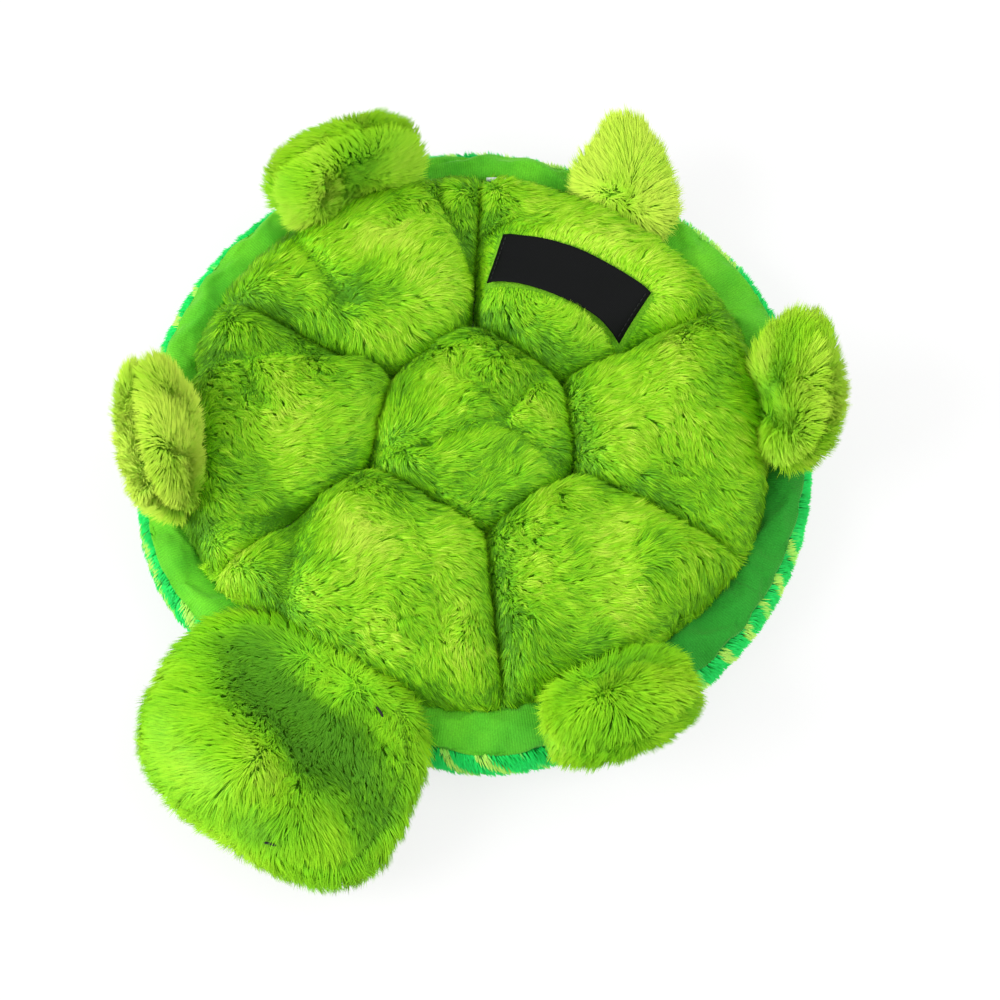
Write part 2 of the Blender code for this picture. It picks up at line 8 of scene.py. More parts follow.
import json
import logging
import math
from dataclasses import dataclass
from enum import Enum
from functools import partial
from typing import Callable, Mapping, Sequence

import bpy
import numpy as np
from mathutils import Matrix, Vector
from mathutils.kdtree import KDTree


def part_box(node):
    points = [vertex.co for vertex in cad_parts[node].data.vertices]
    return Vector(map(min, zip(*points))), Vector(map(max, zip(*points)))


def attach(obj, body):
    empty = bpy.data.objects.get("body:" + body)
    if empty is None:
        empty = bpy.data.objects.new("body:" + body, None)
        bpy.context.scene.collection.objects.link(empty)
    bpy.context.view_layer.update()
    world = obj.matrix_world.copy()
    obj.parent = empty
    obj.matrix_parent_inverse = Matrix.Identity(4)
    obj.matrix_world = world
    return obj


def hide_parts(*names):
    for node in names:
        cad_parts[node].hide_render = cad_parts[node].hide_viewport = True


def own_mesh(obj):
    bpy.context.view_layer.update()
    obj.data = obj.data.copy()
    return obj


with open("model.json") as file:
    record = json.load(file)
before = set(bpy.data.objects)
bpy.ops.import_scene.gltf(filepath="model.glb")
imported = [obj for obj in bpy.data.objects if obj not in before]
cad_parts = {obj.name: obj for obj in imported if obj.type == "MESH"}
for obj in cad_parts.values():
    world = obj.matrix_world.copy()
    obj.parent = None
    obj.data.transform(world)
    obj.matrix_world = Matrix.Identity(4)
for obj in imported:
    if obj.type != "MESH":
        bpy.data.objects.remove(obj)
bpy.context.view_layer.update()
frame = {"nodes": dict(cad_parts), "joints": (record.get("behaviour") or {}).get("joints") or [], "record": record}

LOG = logging.getLogger("plush_turtle")
MM = 0.001
LOCK_MAP = "OFBake"  # each lock's shade runs across this map and its height runs up it
CLOTH_MAP = "cloth_metres"  # lies flat on a cloth, in metres
ONE_BAND = math.pi / 10  # the scale at which a wave texture has one band in a metre
LENGTH_SHARE = 0.962  # the toy's oval is this share as long as it is wide
SEAM_TURN_IN = 5.0 * MM  # how far the band's outer seam lies inside the shell's widest line
# Where a lock's points lie in its column of the map: its root, three round its bend, and its tip
LOCK_PLACES = ((0.5, 0.02), (0.15, 0.45), (0.5, 0.5), (0.85, 0.45), (0.45, 0.98))
LOCK_POINTS = len(LOCK_PLACES)

Spots = np.ndarray  # rows of points, directions or values
Field = Callable[[Spots], Spots]


class Fill(Enum):
    """How tightly a piece is stuffed."""

    SLACK = 0.3
    SOFT = 0.5


def linear(colour: str) -> tuple[float, float, float, float]:
    """Turns an sRGB hex value into linear red, green, blue and alpha.

    Args:
        colour: A value such as "#87bf1e".

    Returns:
        The four linear values.
    """
    channels = []
    for start in (1, 3, 5):
        value = int(colour[start : start + 2], 16) / 255
        channels.append(value / 12.92 if value <= 0.04045 else ((value + 0.055) / 1.055) ** 2.4)
    return channels[0], channels[1], channels[2], 1.0


def unit(rows: Spots) -> Spots:
    """Scales each row to a length of one."""
    return rows / np.maximum(np.linalg.norm(rows, axis=1, keepdims=True), 1e-12)


def ease(share: Spots) -> Spots:
    """Eases from 0 to 1."""
    share = np.clip(share, 0.0, 1.0)
    return share * share * (3 - 2 * share)


def bell(distance: Spots, width: float) -> Spots:
    """Falls smoothly from 1 to 0 over about twice the width."""
    return np.exp(-((distance / width) ** 2))


def puff(distance: Spots, reach: float) -> Spots:
    """The share of its full height that stuffed cloth has at a distance from its seam."""
    return np.sqrt(1 - (1 - np.clip(distance / reach, 0.0, 1.0)) ** 2)


def line_distance(spots: Spots, start: Sequence[float], end: Sequence[float]) -> Spots:
    """Distance of points from a straight line between two points.

    Args:
        spots: Rows of x and y.
        start: One end of the line.
        end: Its other end.

    Returns:
        One distance for each row.
    """
    first, last = np.array(start), np.array(end)
    way = last - first
    share = np.clip(((spots - first) @ way) / (way @ way), 0.0, 1.0)
    return np.linalg.norm(spots - first - share[:, None] * way, axis=1)


@dataclass(frozen=True)
class Waves:
    """Smooth variation over space with a spread of about one: seeded plane waves of about one length."""

    length: float
    seed: int
    count: int = 14

    def at(self, spots: Spots) -> Spots:
        """The variation at each point.

        Args:
            spots: Rows of x, y and z.

        Returns:
            One value for each row.
        """
        generator = np.random.default_rng(self.seed)
        ways = unit(generator.normal(size=(self.count, 3)))
        ways *= (2 * math.pi / self.length) * generator.uniform(0.6, 1.4, (self.count, 1))
        phases = generator.uniform(0.0, 2 * math.pi, self.count)
        return np.cos(spots @ ways.T + phases).sum(axis=1) * math.sqrt(2 / self.count)


def add_node(
    tree: bpy.types.NodeTree,
    kind: str,
    settings: Mapping[str, object] | None = None,
    inputs: Mapping[str | int, object] | None = None,
    stops: Sequence[tuple[float, str]] = (),
) -> bpy.types.Node:
    """Adds a node with its settings and links.

    Args:
        tree: The node tree to add to.
        kind: The node's type name in Blender.
        settings: Values for the node's own properties.
        inputs: For each input, by name or number, a value or the output that feeds it.
        stops: Places and hex colours, where the node is a colour ramp.

    Returns:
        The new node.
    """
    node = tree.nodes.new(kind)
    for name, value in (settings or {}).items():
        setattr(node, name, value)
    for key, value in (inputs or {}).items():
        if isinstance(value, bpy.types.NodeSocket):
            tree.links.new(value, node.inputs[key])
        else:
            node.inputs[key].default_value = value
    for i, (place, colour) in enumerate(stops):
        elements = node.color_ramp.elements
        element = elements[i] if i < 2 else elements.new(place)
        element.position = place
        element.color = linear(colour)
    return node


class Finish:
    """A material of the toy. It is made once, when a piece first asks for it."""

    name: str

    def material(self) -> bpy.types.Material:
        """The finish's material.

        Returns:
            The one material of this name.
        """
        if self.name not in bpy.data.materials:
            made = bpy.data.materials.new(self.name)
            made.use_nodes = True
            made.node_tree.nodes.clear()
            surface = self.shader(made.node_tree)
            add_node(made.node_tree, "ShaderNodeOutputMaterial", inputs={"Surface": surface})
        return bpy.data.materials[self.name]

    def shader(self, tree: bpy.types.NodeTree) -> bpy.types.NodeSocket:
        """Adds the finish's nodes.

        Args:
            tree: The material's empty node tree.

        Returns:
            The output of the shader.
        """
        raise NotImplementedError

    def textured(
        self,
        tree: bpy.types.NodeTree,
        pattern: bpy.types.NodeSocket,
        stops: Sequence[tuple[float, str]],
        relief: Mapping[str, float],
        surface: Mapping[str, float],
        sunk: bool = False,
    ) -> bpy.types.NodeSocket:
        """Uses one pattern for both the tone and the relief of a surface.

        Args:
            tree: The material's node tree.
            pattern: The pattern's output.
            stops: Values of the pattern and their hex colours.
            relief: The relief's strength, and its distance in metres.
            surface: The surface's own values.
            sunk: Whether the pattern's high values lie low.

        Returns:
            The output of the shader.
        """
        tone = add_node(tree, "ShaderNodeValToRGB", inputs={0: pattern}, stops=stops)
        bump = add_node(tree, "ShaderNodeBump", {"invert": sunk}, {"Height": pattern, **relief})
        inputs = {"Base Color": tone.outputs[0], "Normal": bump.outputs[0], **surface}
        return add_node(tree, "ShaderNodeBsdfPrincipled", inputs=inputs).outputs[0]


@dataclass(frozen=True)
class PileFibre(Finish):
    """Dyed polyester pile, heat-set so that it stands.

    To the eye its locks are dark at the root, where little light gets in, and clear and matt at the tip. A
    lock's shade picks its colour from the dyes, and the heights darken it towards the root as painted shade.
    """

    name: str
    dyes: tuple[tuple[float, str], ...]
    # heights: painted shade, darker towards each lock's root
    heights: tuple[tuple[float, str], ...]
    roughness: float = 0.55
    specular: float = 0.2
    sheen: float = 0.08
    sheen_tint: str = "#d8ff9a"

    def shader(self, tree: bpy.types.NodeTree) -> bpy.types.NodeSocket:
        """Mixes the dye by shade, and darkens it towards the root by height as painted shade.

        Args:
            tree: The material's empty node tree.

        Returns:
            The output of the shader.
        """
        places = add_node(tree, "ShaderNodeUVMap", {"uv_map": LOCK_MAP})
        axes = add_node(tree, "ShaderNodeSeparateXYZ", inputs={0: places.outputs[0]})
        dye = add_node(tree, "ShaderNodeValToRGB", inputs={0: axes.outputs[0]}, stops=self.dyes)
        depth = add_node(tree, "ShaderNodeValToRGB", inputs={0: axes.outputs[1]}, stops=self.heights)
        colour = add_node(
            tree,
            "ShaderNodeMix",
            {"data_type": "RGBA", "blend_type": "MULTIPLY"},
            {0: 1.0, 6: dye.outputs[0], 7: depth.outputs[0]},
        )
        skin = add_node(
            tree,
            "ShaderNodeBsdfPrincipled",
            inputs={
                "Base Color": colour.outputs[2],
                "Roughness": self.roughness,
                "IOR": 1.57,
                "Specular IOR Level": self.specular,
                "Sheen Weight": self.sheen,
                "Sheen Roughness": 0.4,
                "Sheen Tint": linear(self.sheen_tint),
            },
        )
        return skin.outputs[0]


@dataclass(frozen=True)
class KnittedGround(Finish):
    """The warp-knitted ground cloth that pile is rooted in: small dull loops, darker between them with painted
    shade.
    """

    name: str
    loops: str
    shaded_gaps: str
    loop_spacing: float = 0.9 * MM

    def shader(self, tree: bpy.types.NodeTree) -> bpy.types.NodeSocket:
        """Small rounded loops, with painted shade in the sunken gaps between them, and a bump.

        Args:
            tree: The material's empty node tree.

        Returns:
            The output of the shader.
        """
        places = add_node(tree, "ShaderNodeTexCoord")
        cells = add_node(
            tree,
            "ShaderNodeTexVoronoi",
            inputs={"Vector": places.outputs["Object"], "Scale": 1 / self.loop_spacing, "Randomness": 0.6},
        )
        return self.textured(
            tree,
            cells.outputs[0],
            stops=((0.1, self.loops), (0.7, self.shaded_gaps)),
            relief={"Strength": 0.5, "Distance": 0.3 * MM},
            surface={"Roughness": 0.9},
            sunk=True,
        )


@dataclass(frozen=True)
class Velour(Finish):
    """Cut velour on a rib knit: matt, with a bloom at grazing angles and ribs that show as faint lines.

    The nap runs one way along the strip. Towards +X the colour is mixed into the turned green, a painted
    shade for the side of the toy that lies away from the light.
    """

    name: str
    light: str
    dark: str
    # turned: painted shade, the deeper green on the +X side
    turned: str
    rib_spacing: float = 1.0 * MM
    nap_grain: float = 0.55 * MM
    shading_length: float = 26 * MM
    shaded_side_start: float = 60 * MM
    shaded_side_end: float = 108 * MM

    def shader(self, tree: bpy.types.NodeTree) -> bpy.types.NodeSocket:
        """Brushed patches, ribs and nap grain, in colour and relief, with painted shade on the +X side.

        Args:
            tree: The material's empty node tree.

        Returns:
            The output of the shader.
        """
        places = add_node(tree, "ShaderNodeTexCoord")
        flat = add_node(tree, "ShaderNodeUVMap", {"uv_map": CLOTH_MAP})
        brushed = add_node(
            tree,
            "ShaderNodeTexNoise",
            inputs={"Vector": places.outputs["Object"], "Scale": 1 / self.shading_length, "Detail": 4.0},
        )
        lit = add_node(
            tree,
            "ShaderNodeValToRGB",
            inputs={0: brushed.outputs[0]},
            stops=((0.32, self.dark), (0.68, self.light)),
        )
        axes = add_node(tree, "ShaderNodeSeparateXYZ", inputs={0: places.outputs["Object"]})
        # Painted shade: the band is mixed towards the turned green along +X, the side away from the light
        away = add_node(
            tree,
            "ShaderNodeMapRange",
            inputs={
                "Value": axes.outputs[0],
                "From Min": self.shaded_side_start,
                "From Max": self.shaded_side_end,
                "To Max": 0.95,
            },
        )
        tone = add_node(
            tree,
            "ShaderNodeMix",
            {"data_type": "RGBA"},
            {0: away.outputs[0], 6: lit.outputs[0], 7: linear(self.turned)},
        )
        ribs = add_node(
            tree,
            "ShaderNodeTexWave",
            {"bands_direction": "X"},
            {
                "Vector": flat.outputs[0],
                "Scale": ONE_BAND / self.rib_spacing,
                "Distortion": 1.2,
                "Detail": 2.0,
                "Detail Scale": 2.0,
            },
        )
        grain = add_node(
            tree,
            "ShaderNodeTexNoise",
            inputs={"Vector": places.outputs["Object"], "Scale": 1 / self.nap_grain, "Detail": 3.0},
        )
        speckle = add_node(
            tree,
            "ShaderNodeMapRange",
            inputs={
                "Value": grain.outputs[0],
                "From Min": 0.3,
                "From Max": 0.7,
                "To Min": 0.84,
                "To Max": 1.12,
            },
        )
        rib_shade = add_node(
            tree,
            "ShaderNodeMapRange",
            inputs={"Value": ribs.outputs[1], "To Min": 0.93, "To Max": 1.04},
        )
        both = add_node(
            tree,
            "ShaderNodeMath",
            {"operation": "MULTIPLY"},
            {0: speckle.outputs[0], 1: rib_shade.outputs[0]},
        )
        colour = add_node(
            tree,
            "ShaderNodeVectorMath",
            {"operation": "SCALE"},
            {0: tone.outputs[2], "Scale": both.outputs[0]},
        )
        height = add_node(
            tree, "ShaderNodeMath", {"operation": "ADD"}, {0: ribs.outputs[1], 1: grain.outputs[0]}
        )
        relief = add_node(
            tree,
            "ShaderNodeBump",
            inputs={"Strength": 0.45, "Distance": 0.25 * MM, "Height": height.outputs[0]},
        )
        skin = add_node(
            tree,
            "ShaderNodeBsdfPrincipled",
            inputs={
                "Base Color": colour.outputs[0],
                "Roughness": 0.85,
                "Specular IOR Level": 0.2,
                "Sheen Weight": 0.35,
                "Sheen Roughness": 0.45,
                "Sheen Tint": linear("#b6f58a"),
                "Normal": relief.outputs[0],
            },
        )
        return skin.outputs[0]


@dataclass(frozen=True)
class Woven(Finish):
    """Woven cloth or ribbon: warp over weft, with a sheen along the floats where the yarn is filament.

    Real label yarn is about 0.12 mm. It is drawn coarser, as a finer thread wouldn't show from a step away.
    """

    name: str
    warp: str
    weft: str
    thread: float
    roughness: float
    sheen: float = 0.0
    specular: float = 0.5
    mapped: bool = True

    def shader(self, tree: bpy.types.NodeTree) -> bpy.types.NodeSocket:
        """Two crossed sets of threads, in tone and relief, laid by the cloth's map or over the piece.

        Args:
            tree: The material's empty node tree.

        Returns:
            The output of the shader.
        """
        if self.mapped:
            flat = add_node(tree, "ShaderNodeUVMap", {"uv_map": CLOTH_MAP}).outputs[0]
        else:
            flat = add_node(tree, "ShaderNodeTexCoord").outputs["Object"]
        sets = []
        for direction in ("X", "Y"):
            sets.append(
                add_node(
                    tree,
                    "ShaderNodeTexWave",
                    {"bands_direction": direction},
                    {
                        "Vector": flat,
                        "Scale": ONE_BAND / self.thread,
                        "Distortion": 0.4,
                        "Detail": 1.0,
                    },
                )
            )
        crossing = add_node(
            tree,
            "ShaderNodeMath",
            {"operation": "MULTIPLY"},
            {0: sets[0].outputs[1], 1: sets[1].outputs[1]},
        )
        return self.textured(
            tree,
            crossing.outputs[0],
            stops=((0.1, self.weft), (0.7, self.warp)),
            relief={"Strength": 0.5, "Distance": 0.12 * MM},
            surface={
                "Roughness": self.roughness,
                "Specular IOR Level": self.specular,
                "Sheen Weight": self.sheen,
                "Sheen Roughness": 0.5,
            },
        )


@dataclass(frozen=True)
class Thread(Finish):
    """Twisted sewing or embroidery thread: a satin ply that winds round itself."""

    name: str
    light: str
    dark: str
    twist: float = 0.8 * MM
    roughness: float = 0.4
    sheen: float = 0.2

    def shader(self, tree: bpy.types.NodeTree) -> bpy.types.NodeSocket:
        """Slanting plies in two tones, with a satin gloss.

        Args:
            tree: The material's empty node tree.

        Returns:
            The output of the shader.
        """
        places = add_node(tree, "ShaderNodeTexCoord")
        plies = add_node(
            tree,
            "ShaderNodeTexWave",
            {"bands_direction": "DIAGONAL"},
            {
                "Vector": places.outputs["Object"],
                "Scale": ONE_BAND / self.twist,
                "Distortion": 0.6,
            },
        )
        return self.textured(
            tree,
            plies.outputs[1],
            stops=((0.2, self.dark), (0.8, self.light)),
            relief={"Strength": 0.4, "Distance": 0.1 * MM},
            surface={
                "Roughness": self.roughness,
                "Specular IOR Level": 0.3,
                "Sheen Weight": self.sheen,
            },
        )


@dataclass(frozen=True)
class BlownPolyethylene(Finish):
    """Blow-moulded low-density polyethylene: milky and satin, with faint flow marks."""

    name: str
    light: str
    dark: str
    flow_length: float = 6 * MM

    def shader(self, tree: bpy.types.NodeTree) -> bpy.types.NodeSocket:
        """Flow marks in tone and relief under a satin surface.

        Args:
            tree: The material's empty node tree.

        Returns:
            The output of the shader.
        """
        places = add_node(tree, "ShaderNodeTexCoord")
        flow = add_node(
            tree,
            "ShaderNodeTexNoise",
            inputs={"Vector": places.outputs["Object"], "Scale": 1 / self.flow_length, "Detail": 5.0},
        )
        return self.textured(
            tree,
            flow.outputs[0],
            stops=((0.35, self.dark), (0.65, self.light)),
            relief={"Strength": 0.15, "Distance": 0.2 * MM},
            surface={"Roughness": 0.38, "IOR": 1.51},
        )


@dataclass(frozen=True)
class Fibrefill(Finish):
    """Siliconised polyester fibrefill: white tangled fibre with soft shadows between the tufts."""

    name: str
    light: str
    dark: str
    tuft: float = 5 * MM

    def shader(self, tree: bpy.types.NodeTree) -> bpy.types.NodeSocket:
        """Tangled fibres in tone and relief.

        Args:
            tree: The material's empty node tree.

        Returns:
            The output of the shader.
        """
        places = add_node(tree, "ShaderNodeTexCoord")
        tangle = add_node(
            tree,
            "ShaderNodeTexNoise",
            inputs={
                "Vector": places.outputs["Object"],
                "Scale": 1 / self.tuft,
                "Detail": 8.0,
                "Roughness": 0.7,
                "Distortion": 1.5,
            },
        )
        return self.textured(
            tree,
            tangle.outputs[0],
            stops=((0.35, self.dark), (0.6, self.light)),
            relief={"Strength": 0.7, "Distance": 0.8 * MM},
            surface={"Roughness": 0.8, "Sheen Weight": 0.3},
        )


# Yellow-green plush. The deep end of its dyes also serves as painted shade at the seams, in the creases
# and in the hollows, the pale end as painted light on the brighter lit limbs, and its heights paint
# shade towards each lock's root
LIME_PILE = PileFibre(
    "lime_polyester_pile",
    dyes=((0.0, "#559c04"), (0.3, "#8adc0a"), (0.6, "#acee1a"), (1.0, "#dcff50")),
    heights=((0.0, "#bce69c"), (0.4, "#e4f8d2"), (0.75, "#ffffff")),
)
# Emerald plush, with pale lime where a stripe runs; its heights paint shade towards each lock's root
SHELL_PILE = PileFibre(
    "striped_polyester_pile",
    dyes=((0.0, "#06cc50"), (0.3, "#12ea64"), (0.5, "#22f870"), (0.7, "#8cff6a"), (0.9, "#c8ff6a")),
    heights=((0.0, "#9cd8ac"), (0.4, "#d2f2da"), (0.75, "#ffffff")),
    sheen_tint="#9affc0",
)
# Dull lime and dull emerald knits, seen only where the pile parts; the gaps' colour is painted shade between the
# loops
LIME_GROUND = KnittedGround("lime_knitted_ground", loops="#8fd81c", shaded_gaps="#6cb410")
SHELL_GROUND = KnittedGround("emerald_knitted_ground", loops="#14b850", shaded_gaps="#0a8a3a")
# Plain mid-green, soft and matt beside the plush; its turned green is painted shade on the +X side
GREEN_VELOUR = Velour("green_cut_velour", light="#72d42a", dark="#4eb424", turned="#24922a")
# Flat black with a faint weave
LABEL_SATIN = Woven(
    "black_damask_label",
    warp="#0d0f11",
    weft="#030404",
    thread=0.6 * MM,
    roughness=0.65,
    specular=0.12,
)
# Bright white with a silky gloss
RIBBON_SATIN = Woven(
    "white_satin_ribbon",
    warp="#f4f6f7",
    weft="#cfd6d9",
    thread=0.5 * MM,
    roughness=0.35,
    sheen=0.3,
)
# Off-white and matt, inside the toy
LINING_WEAVE = Woven(
    "polycotton_plain_weave",
    warp="#e9e8e2",
    weft="#bfbeb6",
    thread=0.6 * MM,
    roughness=0.9,
    mapped=False,
)
# Deep green at the bottom of the grooves
DARK_THREAD = Thread("dark_green_polyester_thread", light="#3c8a12", dark="#1f5205")
# Matt black on the label, and where an end sticks out of the pile
BLACK_THREAD = Thread("black_polyester_thread", light="#17191a", dark="#050606", roughness=0.6, sheen=0.0)
# The eyes' white and black, with the gloss of embroidery
WHITE_FLOSS = Thread("white_rayon_floss", light="#f4f3ee", dark="#cfcdc4", twist=1.6 * MM)
BLACK_FLOSS = Thread("black_rayon_floss", light="#26272a", dark="#08080a", twist=1.6 * MM)
# Milky white, satin
SQUEAKER_PLASTIC = BlownPolyethylene("blown_polyethylene", light="#e9ebea", dark="#d3d7d6")
# Loose white wadding
POLYESTER_FILL = Fibrefill("polyester_fibrefill", light="#f6f6f3", dark="#c9c9c4")


def new_piece(
    name: str,
    points: Spots,
    faces: Spots,
    finish: Finish,
    cloth_places: Spots | None = None,
    map_name: str = CLOTH_MAP,
) -> bpy.types.Object:
    """Makes a smooth-shaded piece from arrays.

    Args:
        name: The piece's name.
        points: Rows of x, y and z.
        faces: Rows of point numbers. A row that ends in -1 is a triangle among rows of four.
        finish: What the piece is made of.
        cloth_places: For each point, its place on the map.
        map_name: The map's name.

    Returns:
        The new object.
    """
    used = faces >= 0
    corners = faces[used].astype(np.int32)
    counts = used.sum(axis=1)
    starts = np.concatenate(([0], np.cumsum(counts)[:-1])).astype(np.int32)
    mesh = bpy.data.meshes.new(name)
    mesh.vertices.add(len(points))
    mesh.vertices.foreach_set("co", np.asarray(points, dtype=np.float32).ravel())
    mesh.loops.add(len(corners))
    mesh.loops.foreach_set("vertex_index", corners)
    mesh.polygons.add(len(counts))
    mesh.polygons.foreach_set("loop_start", starts)
    mesh.update(calc_edges=True)
    mesh.shade_smooth()
    if cloth_places is not None:
        layer = mesh.uv_layers.new(name=map_name)
        layer.uv.foreach_set("vector", np.asarray(cloth_places, dtype=np.float32)[corners].ravel())
    mesh.materials.append(finish.material())
    piece = bpy.data.objects.new(name, mesh)
    bpy.context.scene.collection.objects.link(piece)
    return piece


def grid_faces(rows: int, columns: int, wraps: bool = False) -> Spots:
    """Four-sided faces over a grid of points, row after row.

    Args:
        rows: How many rows of points.
        columns: How many points in a row.
        wraps: Whether each row closes on itself.

    Returns:
        One face a row, as point numbers.
    """
    row = np.arange(rows - 1)[:, None] * columns
    column = np.arange(columns if wraps else columns - 1)[None, :]
    beside = (column + 1) % columns
    corners = [row + column, row + beside, row + columns + beside, row + columns + column]
    size = (rows - 1, column.shape[1])
    return np.stack([np.broadcast_to(corner, size) for corner in corners], axis=-1).reshape(-1, 4)


def read_vectors(items: bpy.types.bpy_prop_collection, name: str) -> Spots:
    """Reads one vector from each item of a mesh.

    Args:
        items: The mesh's items, such as its vertices.
        name: Which of their vectors to read.

    Returns:
        Rows of x, y and z.
    """
    values = np.empty(len(items) * 3, dtype=np.float32)
    items.foreach_get(name, values)
    return values.reshape(-1, 3).astype(float)


def thicken(piece: bpy.types.Object, thickness: float) -> None:
    """Gives a sheet its cloth's thickness, inwards, as a closed form.

    Args:
        piece: The sheet.
        thickness: The cloth's thickness in metres.
    """
    cloth = piece.modifiers.new("cloth", "SOLIDIFY")
    cloth.thickness = thickness
    cloth.offset = -1.0
    cloth.use_even_offset = False
    graph = bpy.context.evaluated_depsgraph_get()
    mesh = bpy.data.meshes.new_from_object(
        piece.evaluated_get(graph), preserve_all_data_layers=True, depsgraph=graph
    )
    piece.modifiers.clear()
    piece.data = mesh


@dataclass(frozen=True)
class Pile:
    """A pile fabric's standing locks. Each is a closed spindle of three sides that bends over with the nap.

    Real fibres are far finer than a lock and scatter light evenly, so a lock is lit partly as its cloth is:
    softness is that part. They also let light through from above, which is the lift. A spread is the least
    and the most of a random share. Clumps stray from the nap by the ruffle, and each lock by a share of it.
    """

    fibre: PileFibre
    length: float
    width: float
    per_square_mm: float
    root_lean: float = 30.0
    tip_lean: float = 68.0
    bend: float = 0.45
    clump_spacing: float = 2.2 * MM
    clump_pull: float = 0.08
    bend_pull_share: float = 0.3
    ruffle: float = 0.22
    stray_share: float = 0.4
    length_spread: tuple[float, float] = (0.75, 1.1)
    clump_length_spread: tuple[float, float] = (0.85, 1.1)
    width_spread: tuple[float, float] = (0.75, 1.2)
    shade_spread: float = 0.15
    clump_shade_share: float = 0.6
    sink: float = 0.6 * MM
    flattened_share: float = 0.1
    softness: float = 0.65
    lift: float = 0.5
    shade_columns: int = 48

    def grow(
        self,
        name: str,
        cloth: bpy.types.Object,
        nap: Callable[[Spots, Spots], Spots],
        seed: int,
        shade: Field | None = None,
        height: Field | None = None,
        bare: Field | None = None,
        lowest: float | None = None,
    ) -> bpy.types.Object:
        """Grows the pile on a cloth.

        Args:
            name: The new piece's name.
            cloth: The sheet that it grows from.
            nap: Gives the way the pile lies from points and normals.
            seed: Seeds the locks' places.
            shade: Gives each root's shade, 0 to 1.
            height: Gives each root's share of the full length.
            bare: Tells which roots stay bare.
            lowest: A height that no lock goes under.

        Returns:
            The pile's object.
        """
        generator = np.random.default_rng(seed)
        roots, normals = scatter(cloth, self.per_square_mm / MM**2, generator)
        if bare is not None:
            kept = ~bare(roots)
            roots, normals = roots[kept], normals[kept]
        count = len(roots)
        centres, clumps = self.clumps(roots, generator)
        strays = generator.normal(size=(len(centres), 3)) * self.ruffle
        wild = generator.normal(size=(count, 3)) * self.ruffle * self.stray_share
        lie = nap(roots, normals) + strays[clumps] + wild
        lie = unit(lie - (lie * normals).sum(axis=1, keepdims=True) * normals)
        lengths = self.length * generator.uniform(*self.length_spread, count)
        lengths *= generator.uniform(*self.clump_length_spread, len(centres))[clumps]
        if height is not None:
            lengths *= height(roots)
        low, high = math.radians(self.root_lean), math.radians(self.tip_lean)
        start = roots - normals * self.sink
        lengths = lengths[:, None]
        middle = start + (normals * math.cos(low) + lie * math.sin(low)) * lengths * self.bend
        tip = middle + (normals * math.cos(high) + lie * math.sin(high)) * lengths * (1 - self.bend)
        drawn = roots - centres[clumps]
        middle -= drawn * self.clump_pull * self.bend_pull_share
        tip -= drawn * self.clump_pull
        points = self.lock_points(start, middle, tip, generator)
        if lowest is not None:
            under = points[:, 2] < lowest
            points[under, 2] = lowest + (lowest - points[under, 2]) * self.flattened_share
        shades = generator.normal(0.5, self.shade_spread, count)
        shades += generator.normal(0.0, self.shade_spread * self.clump_shade_share, len(centres))[clumps]
        if shade is not None:
            shades += shade(roots) - 0.5
        pile = new_piece(name, points, lock_faces(count), self.fibre, self.lock_places(shades), LOCK_MAP)
        self.soften(pile, normals)
        return pile

    def soften(self, pile: bpy.types.Object, normals: Spots) -> None:
        """Turns the shading of each lock part of the way to its cloth's.

        Args:
            pile: The pile's object.
            normals: The cloth's normal at each root.
        """
        own = read_vectors(pile.data.vertices, "normal") * (1 - self.softness)
        lit = unit(normals + (0.0, 0.0, self.lift))
        facing = unit(own + np.repeat(lit, LOCK_POINTS, axis=0) * self.softness)
        layer = pile.data.attributes.new("custom_normal", "FLOAT_VECTOR", "POINT")
        layer.data.foreach_set("vector", facing.astype(np.float32).ravel())
        pile.data.update()

    def clumps(self, roots: Spots, generator: np.random.Generator) -> tuple[Spots, Spots]:
        """Gathers locks into clumps.

        Args:
            roots: Where the locks stand.
            generator: The seeded source of chance.

        Returns:
            The clumps' centres, and for each lock the number of its clump.
        """
        share = 1 / (self.per_square_mm / MM**2 * self.clump_spacing**2)
        picked = generator.choice(len(roots), max(1, int(len(roots) * min(share, 1.0))), replace=False)
        centres = roots[picked]
        tree = KDTree(len(centres))
        for number, centre in enumerate(centres):
            tree.insert(centre, number)
        tree.balance()
        return centres, np.array([tree.find(root)[1] for root in roots])

    def lock_points(self, start: Spots, middle: Spots, tip: Spots, generator: np.random.Generator) -> Spots:
        """Points of every lock: its root, three round its bend, and its tip.

        Args:
            start: The roots.
            middle: The bends.
            tip: The tips.
            generator: The seeded source of chance.

        Returns:
            The points of one lock after another.
        """
        along = unit(tip - start)
        across = unit(np.cross(along, generator.normal(size=start.shape)))
        upright = np.cross(along, across)
        widths = self.width / 2 * generator.uniform(*self.width_spread, (len(start), 1))
        rows = [start]
        for i in range(3):
            turn = 2 * math.pi * i / 3
            rows.append(middle + (across * math.cos(turn) + upright * math.sin(turn)) * widths)
        rows.append(tip)
        return np.stack(rows, axis=1).reshape(-1, 3)

    def lock_places(self, shades: Spots) -> Spots:
        """Places on the map: each lock in the column of its shade, root low and tip high.

        Args:
            shades: One shade for each lock, 0 to 1.

        Returns:
            The map places of one lock's points after another's.
        """
        column = (np.clip(shades, 0.0, 0.999) * self.shade_columns).astype(int)
        places = np.empty((len(shades), LOCK_POINTS, 2))
        for i, (side, up) in enumerate(LOCK_PLACES):
            places[:, i, 0] = (column + side) / self.shade_columns
            places[:, i, 1] = up
        return places.reshape(-1, 2)


def lock_faces(count: int) -> Spots:
    """Faces of so many locks, each with its root first and its tip last."""
    one = np.array([[0, 2, 1], [0, 3, 2], [0, 1, 3], [1, 2, 4], [2, 3, 4], [3, 1, 4]])
    return (one[None] + (np.arange(count) * LOCK_POINTS)[:, None, None]).reshape(-1, 3)


